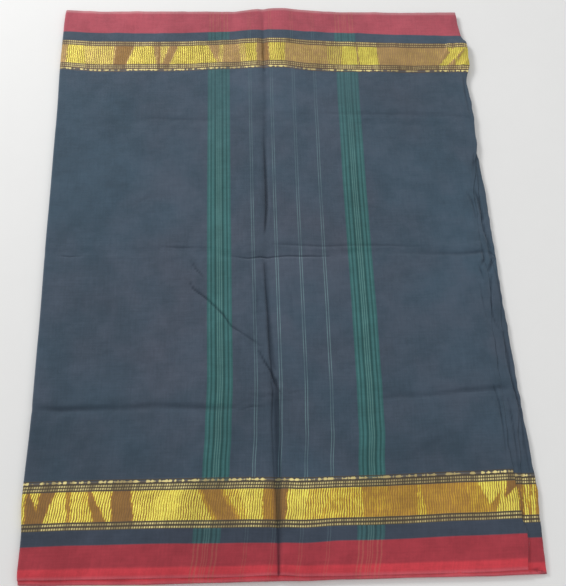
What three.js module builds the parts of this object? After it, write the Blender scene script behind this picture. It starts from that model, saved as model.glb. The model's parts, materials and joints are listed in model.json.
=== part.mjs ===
// A cotton saree, folded flat into a pile of eight layers.
//
// Units are millimetres, +Z is up. +X runs along the length of the cloth, from the left fold to its cut
// ends, and +Y runs across the cloth from the front selvedge to the back one. The pile rests on the plane
// z = 0, and the origin is below the middle of its bounding box.
//
// Every stretch of cloth that shows is a wall of its own. The top stretch turns down round the left fold.
// The layers that no eye reaches share one rounded solid, whose edges are split into a lip for each layer.

import * as THREE from 'three';

// ---------------------------------------------------------------- driving dimensions

const CLOTH_WIDTH = 1120; // selvedge to selvedge, along Y
const CLOTH_LENGTH = 6300; // 5.5 m of saree and 0.8 m of blouse cloth
const LAYERS = 8; // the length is halved three times
const FOLD_PITCH = CLOTH_LENGTH / LAYERS; // one layer from fold to fold, along X

const CLOTH_WALL = 1.2; // one stretch that shows, with the air it holds
const SEAM_GAP = 0.3; // between one stretch and the next
const SHOWN_LAYERS = 3; // pallu, second and third stretch
const HIDDEN_LAYERS = LAYERS - SHOWN_LAYERS;
const HIDDEN_RISE = 0.88; // height of one hidden layer

const HIDDEN_HEIGHT = HIDDEN_LAYERS * HIDDEN_RISE;
const STEP = CLOTH_WALL + SEAM_GAP;
const PILE_HEIGHT = HIDDEN_HEIGHT + SHOWN_LAYERS * STEP;

const END_MARGIN = 12; // width of each grid's outer column, which follows the piece's own end
const SELVEDGE_MARGIN = 20; // depth of the strip along each selvedge
const FOLD_STEPS = 8; // facets round the left fold
const LIP_NOTCH = 1.1; // how deep the groove between two hidden layers is
const LIP_FACE = { from: 0.28, to: 0.72 }; // the upright part of a lip, as shares of its layer's height
const NEST_SHARE = 0.9; // how much of the left fold's hollow the hidden layers fill
const LIP_ROUND = 0.35; // how far a lip's top and bottom draw back
const COLUMN_BEND = 90; // how far beside the old middle fold the grid bends with it
const ROW_BEND = 60; // and beside an old cross fold
const SECOND_SLIP = 6; // the under layers lie this much nearer the front

// ---------------------------------------------------------------- tables

// Left edge of the pile, from front to back.
const LEFT_FOLD = [
  { y: -560, x: -394 },
  { y: -492, x: -393 },
  { y: -432, x: -397 },
  { y: -305, x: -395 },
  { y: -166, x: -396 },
  { y: 65, x: -399 },
  { y: 285, x: -401 },
  { y: 429, x: -404 },
  { y: 520, x: -404 },
  { y: 560, x: -400 },
];

// Where each stretch ends on the right, from front to back.
const RIGHT_ENDS = [
  { y: -560, pallu: 370, second: 372, third: 399 },
  { y: -502, pallu: 377, second: 379, third: 400 },
  { y: -473, pallu: 372, second: 375, third: 401 },
  { y: -434, pallu: 371, second: 380, third: 404 },
  { y: -356, pallu: 368, second: 386, third: 402 },
  { y: -288, pallu: 371, second: 394, third: 400 },
  { y: -216, pallu: 370, second: 387, third: 399 },
  { y: -150, pallu: 371, second: 388, third: 398 },
  { y: -76, pallu: 377, second: 393, third: 396 },
  { y: 18, pallu: 372, second: 384, third: 396 },
  { y: 56, pallu: 373, second: 380, third: 395 },
  { y: 116, pallu: 373, second: 383, third: 396 },
  { y: 178, pallu: 384, second: 386, third: 394 },
  { y: 230, pallu: 394, second: 386, third: 391 },
  { y: 318, pallu: 396, second: 386, third: 390 },
  { y: 370, pallu: 392, second: 385, third: 388 },
  { y: 425, pallu: 403, second: 388, third: 392 },
  { y: 474, pallu: 405, second: 388, third: 392 },
  { y: 490, pallu: 395, second: 386, third: 389 },
  { y: 560, pallu: 391, second: 382, third: 385 },
];

// Front and back selvedges, from left to right: the top stretch and the layers below it.
const SELVEDGES = [
  { x: -400, front: -552, frontBelow: -558, back: 557, backBelow: 551 },
  { x: -324, front: -553, frontBelow: -560, back: 554, backBelow: 548 },
  { x: -190, front: -554, frontBelow: -562, back: 555, backBelow: 549 },
  { x: -72, front: -555, frontBelow: -562, back: 555, backBelow: 549 },
  { x: -10, front: -554, frontBelow: -562, back: 560, backBelow: 551 },
  { x: 32, front: -557, frontBelow: -563, back: 561, backBelow: 553 },
  { x: 90, front: -558, frontBelow: -562, back: 558, backBelow: 551 },
  { x: 140, front: -558, frontBelow: -562, back: 556, backBelow: 549 },
  { x: 300, front: -558, frontBelow: -563, back: 556, backBelow: 549 },
  { x: 400, front: -556, frontBelow: -562, back: 558, backBelow: 550 },
];

// Old fold lines that run from left to right, as soft troughs: each is a row of places along the line.
const CROSS_CREASES = [
  {
    y: -8,
    halfWidth: 14,
    places: [
      { x: -400, shift: 4, depth: 0.5 },
      { x: -158, shift: 9, depth: 0.9 },
      { x: -32, shift: -8, depth: 1.2 },
      { x: 60, shift: -5, depth: 1.2 },
      { x: 216, shift: 4, depth: 0.7 },
      { x: 400, shift: 0, depth: 0.7 },
    ],
  },
  {
    y: -280,
    halfWidth: 15,
    places: [
      { x: -400, shift: -8, depth: 0.9 },
      { x: -120, shift: -8, depth: 0.9 },
      { x: -30, shift: -6, depth: 0.5 },
      { x: 120, shift: 8, depth: 0.3 },
      { x: 200, shift: 8, depth: 0.9 },
      { x: 400, shift: 16, depth: 0.8 },
    ],
  },
  {
    y: 282,
    halfWidth: 16,
    places: [
      { x: -400, shift: -6, depth: 0.3 },
      { x: 0, shift: 0, depth: 0.5 },
      { x: 400, shift: -6, depth: 0.6 },
    ],
  },
];

// The old middle fold, from front to back: a trough between two low shoulders.
const MIDDLE_FOLD = {
  halfWidth: 12,
  shoulderAt: 34,
  shoulderHeight: 0.9,
  places: [
    { y: -560, x: -8, depth: 1.2 },
    { y: -500, x: -8, depth: 2.2 },
    { y: -250, x: -5, depth: 2.4 },
    { y: -20, x: -12, depth: 1.4 },
    { y: 40, x: -9, depth: 0.8 },
    { y: 150, x: -10, depth: 1.7 },
    { y: 300, x: -10, depth: 0.9 },
    { y: 560, x: -6, depth: 1.8 },
  ],
};

// Low, broad swellings of the pile.
const SWELLINGS = [
  { x: 28, y: 540, reachX: 125, reachY: 190, height: 5.0 },
  { x: 250, y: -420, reachX: 190, reachY: 150, height: 0.8 },
  { x: -250, y: 120, reachX: 180, reachY: 200, height: 0.7 },
];

// The top stretch alone puffs up where its right end is crumpled.
const PALLU_PUFFS = [
  { x: 392, y: 452, reachX: 44, reachY: 58, height: 3.4 },
  { x: 372, y: -448, reachX: 40, reachY: 46, height: 1.2 },
];

const FRONT_DROP = 2.0; // the front selvedges sink this far towards the table, over the selvedge strip

// One row for each hidden layer, from the table up: how far its lip stands out from the pile's edge.
const LIPS = [
  { front: -1.5, back: -2.0, right: -3.0 },
  { front: 0.0, back: -0.5, right: -0.6 },
  { front: -2.5, back: -3.0, right: -0.4 },
  { front: -0.8, back: -1.0, right: -2.6 },
  { front: -1.8, back: -1.2, right: -1.2 },
];

// Grid lines that all pieces share, so that one surface lies truly on the next.
const COLUMNS = [-345, -265, -180, -110, -58, -38, -24, -12, 0, 12, 24, 42, 90, 155, 235, 305, 345];
const ROWS = [
  -510, -470, -420, -355, -300, -280, -260, -190, -110, -30, -8, 14,
  70, 130, 190, 240, 282, 324, 372, 425, 474, 495, 515,
];

// ---------------------------------------------------------------- the pile's form

// Value of a table's column at a place between its rows, eased so that no corner shows.
function between(rows, key, place, column) {
  const last = rows.length - 1;
  if (place <= rows[0][key]) return rows[0][column];
  if (place >= rows[last][key]) return rows[last][column];
  const next = rows.findIndex((row) => row[key] > place);
  const before = rows[next - 1];
  const after = rows[next];
  const share = (place - before[key]) / (after[key] - before[key]);
  return THREE.MathUtils.lerp(before[column], after[column], THREE.MathUtils.smoothstep(share, 0, 1));
}

// A bell that is 1 at zero and fades to 0 at one.
function bell(distance) {
  const near = Math.min(Math.abs(distance), 1);
  return 0.5 * (1 + Math.cos(Math.PI * near));
}

// Height of a row of low swellings at a place.
function swellAt(swellings, x, y) {
  let total = 0;
  for (const { x: middleX, y: middleY, reachX, reachY, height } of swellings) {
    total += height * bell((x - middleX) / reachX) * bell((y - middleY) / reachY);
  }
  return total;
}

// How far the pile stands above or below its even height at a place.
function liftAt(x, y) {
  let lift = swellAt(SWELLINGS, x, y);
  for (const crease of CROSS_CREASES) {
    const line = crease.y + between(crease.places, 'x', x, 'shift');
    lift -= between(crease.places, 'x', x, 'depth') * bell((y - line) / crease.halfWidth);
  }
  const foldX = between(MIDDLE_FOLD.places, 'y', y, 'x');
  const foldDepth = between(MIDDLE_FOLD.places, 'y', y, 'depth');
  const fromFold = Math.abs(x - foldX);
  const shoulder = bell((fromFold - MIDDLE_FOLD.shoulderAt) / MIDDLE_FOLD.shoulderAt);
  lift += MIDDLE_FOLD.shoulderHeight * shoulder - foldDepth * bell(fromFold / MIDDLE_FOLD.halfWidth);
  const fromFront = y - between(SELVEDGES, 'x', x, 'frontBelow');
  lift -= FRONT_DROP * THREE.MathUtils.clamp(1 - fromFront / SELVEDGE_MARGIN, 0, 1);
  return lift;
}

const selvedge = (column) => (x) => between(SELVEDGES, 'x', x, column);
const frontBelow = selvedge('frontBelow');
const backBelow = selvedge('backBelow');

// A shared grid line is moved sideways where it lies on an old fold, so that its points stay in the trough.
function bendColumn(column, y) {
  const foldX = between(MIDDLE_FOLD.places, 'y', y, 'x');
  return column + foldX * bell(column / COLUMN_BEND);
}

function bendRow(row, x) {
  let place = row;
  for (const crease of CROSS_CREASES) {
    place += between(crease.places, 'x', x, 'shift') * bell((row - crease.y) / ROW_BEND);
  }
  return place;
}

// The grid of places of one piece: rows from front to back, each with its places from left to right.
// The outer rows and columns follow the piece's own edges, and the rest are shared.
function layOutGrid(edges) {
  const rowPlaces = [
    edges.front,
    (x) => frontBelow(x) + SELVEDGE_MARGIN,
    ...ROWS.map((row) => (x) => bendRow(row, x)),
    (x) => backBelow(x) - SELVEDGE_MARGIN,
    edges.back,
  ];
  return rowPlaces.map((rowPlace) => {
    const left = edges.left(rowPlace(-FOLD_PITCH / 2));
    const right = edges.right(rowPlace(FOLD_PITCH / 2));
    const middle = COLUMNS.map((column) => bendColumn(column, rowPlace(column)));
    const columns = [left, left + END_MARGIN, ...middle, right - END_MARGIN, right];
    return columns.map((x) => ({ x, y: rowPlace(x) }));
  });
}

const foldRadiusAt = (x, y) => (PILE_HEIGHT + liftAt(x, y)) / 2;
const leftAt = (y) => between(LEFT_FOLD, 'y', y, 'x');
// The middle of the turn round the left fold: the flat of every layer starts here.
const turnAt = (y) => leftAt(y) + PILE_HEIGHT / 2;

// ---------------------------------------------------------------- closed meshes

// A closed mesh from cross sections of a wall, from front to back, with the first and last as its end faces.
// A section has its outer points first and then its inner points in the same order.
function meshFromSections(sections) {
  const count = sections[0].length;
  const half = count / 2;
  const positions = sections.flat(2);
  const index = [];
  const quad = (a, b, c, d) => index.push(a, b, c, a, c, d);
  for (let row = 0; row + 1 < sections.length; row += 1) {
    const near = row * count;
    const far = near + count;
    for (let i = 0; i + 1 < half; i += 1) {
      quad(near + i, near + i + 1, far + i + 1, far + i);
      quad(near + half + i, far + half + i, far + half + i + 1, near + half + i + 1);
    }
    quad(near, far, far + half, near + half);
    quad(near + half - 1, near + count - 1, far + count - 1, far + half - 1);
  }
  const last = (sections.length - 1) * count;
  for (let i = 0; i + 1 < half; i += 1) {
    quad(i, half + i, half + i + 1, i + 1);
    quad(last + i, last + i + 1, last + half + i + 1, last + half + i);
  }
  return geometryFrom(positions, index);
}

function geometryFrom(positions, index) {
  const geometry = new THREE.BufferGeometry();
  geometry.setAttribute('position', new THREE.Float32BufferAttribute(positions, 3));
  geometry.setIndex(index);
  geometry.computeVertexNormals();
  return geometry;
}

// One stretch of cloth: its upper face lies at a height above the hidden layers, its lower face a wall below.
// The top stretch has puffs of its own, and goes on round the left fold, down to the table.
function clothStretch(edges, height, { puffs = [], turnsDown = false } = {}) {
  const sections = layOutGrid(edges).map((places) => {
    const top = places.map(({ x, y }) => height + liftAt(x, y) + swellAt(puffs, x, y));
    const outer = places.map(({ x, y }, column) => [x, y, top[column]]);
    const inner = places.map(({ x, y }, column) => [x, y, top[column] - CLOTH_WALL]);
    if (turnsDown) {
      const { x, y } = places[0];
      const radius = foldRadiusAt(x, y);
      for (let stepIndex = 1; stepIndex <= FOLD_STEPS; stepIndex += 1) {
        const angle = (Math.PI * stepIndex) / FOLD_STEPS;
        const along = Math.sin(angle);
        const up = Math.cos(angle);
        outer.unshift([x - radius * along, y, radius + radius * up]);
        inner.unshift([x - (radius - CLOTH_WALL) * along, y, radius + (radius - CLOTH_WALL) * up]);
      }
    }
    return [...outer, ...inner];
  });
  return meshFromSections(sections);
}

// ---------------------------------------------------------------- hidden layers

// The rings round the hidden layers, from the table up, as a share of their height and how far they stand
// out: two for the upright face of each lip, one for each groove between lips and one for each outer edge.
function lipRings(side) {
  const rings = [];
  LIPS.forEach((lip, layer) => {
    const out = lip[side];
    rings.push({ height: (layer + LIP_FACE.from) / HIDDEN_LAYERS, out });
    rings.push({ height: (layer + LIP_FACE.to) / HIDDEN_LAYERS, out });
    if (layer + 1 < LIPS.length) {
      const groove = Math.min(out, LIPS[layer + 1][side]) - LIP_NOTCH;
      rings.push({ height: (layer + 1) / HIDDEN_LAYERS, out: groove });
    }
  });
  rings.unshift({ height: 0, out: rings[0].out - LIP_ROUND });
  rings.push({ height: 1, out: rings[rings.length - 1].out - LIP_ROUND });
  return rings;
}

// On the left the rings nest inside the turned-down stretch, whose lower end lies on the table beside them.
function nestedLeft(turn, z, radius) {
  const inside = radius - STEP;
  const fromMiddle = z - radius;
  const reach = Math.sqrt(Math.max(inside * inside - fromMiddle * fromMiddle, 0));
  const besideEnd = z < STEP + SEAM_GAP;
  return besideEnd ? turn + 2 * SEAM_GAP : turn + 2 * SEAM_GAP - NEST_SHARE * reach;
}

// The outermost places of a grid, once round from the front left corner.
function rimOf(rowCount, columnCount) {
  const rim = [];
  for (let column = 0; column < columnCount - 1; column += 1) rim.push([0, column]);
  for (let row = 0; row < rowCount - 1; row += 1) rim.push([row, columnCount - 1]);
  for (let column = columnCount - 1; column > 0; column -= 1) rim.push([rowCount - 1, column]);
  for (let row = rowCount - 1; row > 0; row -= 1) rim.push([row, 0]);
  return rim;
}

function hiddenLayers(edges) {
  const grid = layOutGrid(edges);
  const rowCount = grid.length;
  const columnCount = grid[0].length;
  const front = lipRings('front');
  const back = lipRings('back');
  const right = lipRings('right');
  const ringCount = front.length;
  const rim = rimOf(rowCount, columnCount);
  const positions = [];
  const index = [];

  const ringPoint = (row, column, ring) => {
    const { x, y } = grid[row][column];
    const z = front[ring].height * (HIDDEN_HEIGHT + liftAt(x, y));
    let px = x;
    let py = y;
    if (column === columnCount - 1) px += right[ring].out;
    if (row === 0) py -= front[ring].out;
    if (row === rowCount - 1) py += back[ring].out;
    if (column === 0) px = nestedLeft(x, z, foldRadiusAt(x, y));
    return [px, py, z];
  };

  rim.forEach(([row, column]) => {
    for (let ring = 0; ring < ringCount; ring += 1) positions.push(ringPoint(row, column, ring));
  });
  rim.forEach((_, place) => {
    const here = place * ringCount;
    const there = ((place + 1) % rim.length) * ringCount;
    for (let ring = 0; ring + 1 < ringCount; ring += 1) {
      index.push(here + ring, there + ring, there + ring + 1, here + ring, there + ring + 1, here + ring + 1);
    }
  });

  // A flat or lifted face over the whole grid, joined to one of the rings.
  const addFace = (ring, heightAt, facesUp) => {
    const names = new Map();
    rim.forEach(([row, column], place) => names.set(row * columnCount + column, place * ringCount + ring));
    grid.forEach((places, row) => {
      places.forEach(({ x, y }, column) => {
        const key = row * columnCount + column;
        if (names.has(key)) return;
        names.set(key, positions.length);
        positions.push([x, y, heightAt(x, y)]);
      });
    });
    for (let row = 0; row + 1 < rowCount; row += 1) {
      for (let column = 0; column + 1 < columnCount; column += 1) {
        const corner = row * columnCount + column;
        const corners = [corner, corner + 1, corner + columnCount + 1, corner + columnCount];
        const [a, b, c, d] = corners.map((key) => names.get(key));
        index.push(...(facesUp ? [a, b, c, a, c, d] : [a, c, b, a, d, c]));
      }
    }
  };
  addFace(0, () => 0, false);
  addFace(ringCount - 1, (x, y) => HIDDEN_HEIGHT + liftAt(x, y), true);
  return geometryFrom(positions.flat(), index);
}

// ---------------------------------------------------------------- the pieces

const rightEnd = (column) => (y) => between(RIGHT_ENDS, 'y', y, column);
const slipped = (column) => (y) => between(RIGHT_ENDS, 'y', y + SECOND_SLIP, column);

const palluEdges = {
  left: turnAt,
  right: rightEnd('pallu'),
  front: selvedge('front'),
  back: selvedge('back'),
};
const secondEdges = {
  left: (y) => turnAt(y) + SEAM_GAP,
  right: slipped('second'),
  front: frontBelow,
  back: backBelow,
};
const thirdEdges = {
  left: turnAt,
  right: slipped('third'),
  front: frontBelow,
  back: backBelow,
};

const navyCotton = new THREE.MeshStandardMaterial({ color: 0x45525f, roughness: 0.85, metalness: 0 });
const navyCottonBelow = new THREE.MeshStandardMaterial({ color: 0x3f4b57, roughness: 0.85, metalness: 0 });
const redSelvedge = new THREE.MeshStandardMaterial({ color: 0xa84450, roughness: 0.85, metalness: 0 });

function addPiece(group, name, geometry, material) {
  const mesh = new THREE.Mesh(geometry, material);
  mesh.name = name;
  group.add(mesh);
  return mesh;
}

const THIRD_TOP = HIDDEN_HEIGHT + STEP;
const SECOND_TOP = THIRD_TOP + STEP;

const pile = new THREE.Group();
addPiece(pile, 'folded_layers', hiddenLayers(thirdEdges), redSelvedge);
addPiece(pile, 'third_panel', clothStretch(thirdEdges, THIRD_TOP), navyCottonBelow);
addPiece(pile, 'second_panel', clothStretch(secondEdges, SECOND_TOP), navyCottonBelow);
addPiece(
  pile,
  'pallu_panel',
  clothStretch(palluEdges, PILE_HEIGHT, { puffs: PALLU_PUFFS, turnsDown: true }),
  navyCotton,
);

const box = new THREE.Box3().setFromObject(pile);
const middle = box.getCenter(new THREE.Vector3());
pile.position.set(-middle.x, -middle.y, -box.min.z);

const saree = new THREE.Group();
saree.add(pile);

export default saree;
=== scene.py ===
"""A cotton saree, folded flat into a pile of eight layers, on a pale studio floor.

The stretches that show are thin shells: the top stretch with the end piece's stripes, and two below it.
The five layers under them are two long strips of cloth, folded to and fro. Tables give places on the pile
in millimetres, as seen from above, and every mesh is in metres.
"""

import json

import bpy
import numpy as np
from bpy.props import FloatProperty, FloatVectorProperty, PointerProperty
from bpy.types import Operator, Panel, PropertyGroup
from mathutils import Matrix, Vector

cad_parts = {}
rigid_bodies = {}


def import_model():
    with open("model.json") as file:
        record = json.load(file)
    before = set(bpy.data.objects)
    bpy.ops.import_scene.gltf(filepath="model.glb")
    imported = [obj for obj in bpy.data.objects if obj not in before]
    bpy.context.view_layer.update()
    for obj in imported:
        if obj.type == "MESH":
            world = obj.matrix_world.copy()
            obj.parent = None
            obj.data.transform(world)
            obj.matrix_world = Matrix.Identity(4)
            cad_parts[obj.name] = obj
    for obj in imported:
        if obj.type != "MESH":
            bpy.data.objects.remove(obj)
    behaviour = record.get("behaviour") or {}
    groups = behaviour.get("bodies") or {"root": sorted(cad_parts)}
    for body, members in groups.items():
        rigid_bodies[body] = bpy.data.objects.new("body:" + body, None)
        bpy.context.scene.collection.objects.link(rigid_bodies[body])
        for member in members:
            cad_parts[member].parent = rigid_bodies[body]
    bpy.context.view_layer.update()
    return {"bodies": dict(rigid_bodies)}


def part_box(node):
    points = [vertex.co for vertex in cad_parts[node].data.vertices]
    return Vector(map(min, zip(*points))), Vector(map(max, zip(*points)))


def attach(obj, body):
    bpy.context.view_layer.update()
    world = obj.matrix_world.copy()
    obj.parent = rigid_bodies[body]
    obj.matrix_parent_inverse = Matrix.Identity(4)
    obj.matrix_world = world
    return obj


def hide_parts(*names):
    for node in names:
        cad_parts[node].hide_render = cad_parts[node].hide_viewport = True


bl_info = {
    "name": "Folded cotton saree",
    "version": (1, 0, 0),
    "blender": (4, 5, 0),
    "location": "3D View > Sidebar > Saree",
    "description": "Builds a folded cotton saree with woven stripes and gold borders",
    "category": "Add Mesh",
}

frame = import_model()
BODY = next(iter(frame["bodies"]))
MM = 0.001


# ---------------------------------------------------------------- tables


def table(columns, *rows):
    """A short table: the rows' numbers as one array for each named column."""
    return dict(zip(columns.split(), np.array(rows, float).T))


def crease(half, lip, side, path):
    """A sharp crease: half its width, its lip as a share, the lip's side, and rows of x, y and depth."""
    return {"half": half, "lip": lip, "side": side, "path": table("x y depth", *path)}


def ridge(half, path):
    """A ridge of the crumpled gold: half its width, and rows of x, y and height."""
    return {"half": half, "path": table("x y depth", *path)}


# Sizes of the pile in mm, with heights above the table.
CLOTH_WIDTH = 1120.0
LAYERS = 8
HIDDEN_HEIGHT = 4.4
STEP = 1.5
THIRD_TOP = HIDDEN_HEIGHT + STEP
SECOND_TOP = THIRD_TOP + STEP
PILE_HEIGHT = SECOND_TOP + STEP
SELVEDGE_MARGIN = 20.0
FRONT_DROP = 2.0
SECOND_SLIP = 6.0

# Left edge of the pile, from front to back.
LEFT_FOLD = table(
    "y x",
    (-560, -394),
    (-492, -393),
    (-432, -397),
    (-305, -395),
    (-166, -396),
    (65, -399),
    (285, -401),
    (429, -404),
    (520, -404),
    (560, -403),
)

# Where each stretch ends on the right, from front to back.
RIGHT_ENDS = table(
    "y pallu second third",
    (-560, 370, 372, 399),
    (-502, 377, 379, 400),
    (-473, 372, 375, 401),
    (-434, 371, 380, 404),
    (-356, 368, 386, 402),
    (-288, 371, 394, 400),
    (-216, 370, 387, 399),
    (-150, 371, 388, 398),
    (-76, 377, 393, 396),
    (18, 372, 384, 396),
    (56, 373, 380, 395),
    (116, 373, 383, 396),
    (178, 384, 386, 394),
    (230, 394, 386, 391),
    (318, 396, 386, 390),
    (370, 392, 385, 388),
    (425, 403, 388, 392),
    (474, 405, 388, 392),
    (490, 395, 386, 389),
    (560, 391, 382, 385),
)

# Where the cloth's own lengthways lines lie, from left to right: the selvedges of the top stretch and of
# those below it, the inner edge of each red border and the outermost gold line of each woven border.
CLOTH_LINES = table(
    "x front front_below front_red front_gold back_gold back_red back back_below",
    (-400, -552, -558, -505, -410.5, 409.5, 500.5, 557, 551),
    (-325, -553, -560, -504, -409.5, 403.5, 496.5, 554, 548),
    (-195, -554, -562, -504, -409.5, 404.5, 497, 555, 549),
    (-72, -555, -562, -506, -409.5, 410.5, 501.5, 555, 549),
    (-10, -554, -562, -507, -410.5, 414.5, 504.5, 560, 551),
    (32, -557, -563, -508.5, -412.5, 413.5, 503.5, 561, 553),
    (90, -558, -562, -506, -411.5, 406.5, 501.5, 558, 551),
    (140, -558, -562, -506.5, -411, 404.5, 500.5, 556, 549),
    (300, -558, -563, -503.5, -407.5, 403.5, 495, 556, 549),
    (400, -556, -562, -502, -405.5, 404.5, 493.5, 558, 550),
)

# How far the crosswise threads wander sideways from front to back, at the left and the right green band.
THREAD_DRIFT = table(
    "y left right",
    (-560, -28, -28),
    (-520, -22, -21),
    (-490, -19, -17),
    (-450, -14, -13.5),
    (-395, -5, -9),
    (-330, -1.5, -4),
    (-240, 1.5, -2),
    (-100, 0.6, -0.5),
    (100, 0, 0),
    (300, 0, 2),
    (420, 0, 4),
    (560, 0, 5),
)

# Old fold lines from left to right, as soft troughs that the whole pile shares.
CROSS_CREASES = (
    dict(
        y=-8,
        half=14,
        path=table(
            "x shift depth",
            (-400, 4, 0.5),
            (-158, 9, 0.9),
            (-32, -8, 1.2),
            (60, -5, 1.2),
            (216, 4, 0.7),
            (400, 0, 0.7),
        ),
    ),
    dict(
        y=-280,
        half=15,
        path=table(
            "x shift depth",
            (-400, -8, 0.9),
            (-120, -8, 0.9),
            (-30, -6, 0.5),
            (120, 8, 0.3),
            (200, 8, 0.9),
            (400, 16, 0.8),
        ),
    ),
    dict(y=282, half=16, path=table("x shift depth", (-400, -6, 0.3), (0, 0, 0.5), (400, -6, 0.6))),
)

# The old middle fold from front to back: a trough between two low shoulders.
MIDDLE_FOLD = table(
    "y x depth",
    (-560, -8, 1.2),
    (-500, -8, 2.2),
    (-250, -5, 2.4),
    (-20, -12, 1.4),
    (40, -9, 0.8),
    (150, -10, 1.7),
    (300, -10, 0.9),
    (560, -6, 1.8),
)
MIDDLE_FOLD_HALF = 12.0
SHOULDER_AT = 34.0
SHOULDER_HEIGHT = 0.9

SWELLINGS = table(
    "x y reach_x reach_y height",
    (28, 540, 125, 190, 5.0),
    (250, -420, 190, 150, 0.8),
    (-250, 120, 180, 200, 0.7),
)
PALLU_PUFFS = table(
    "x y reach_x reach_y height",
    (392, 452, 44, 58, 3.4),
    (372, -448, 40, 46, 1.2),
)

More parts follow.
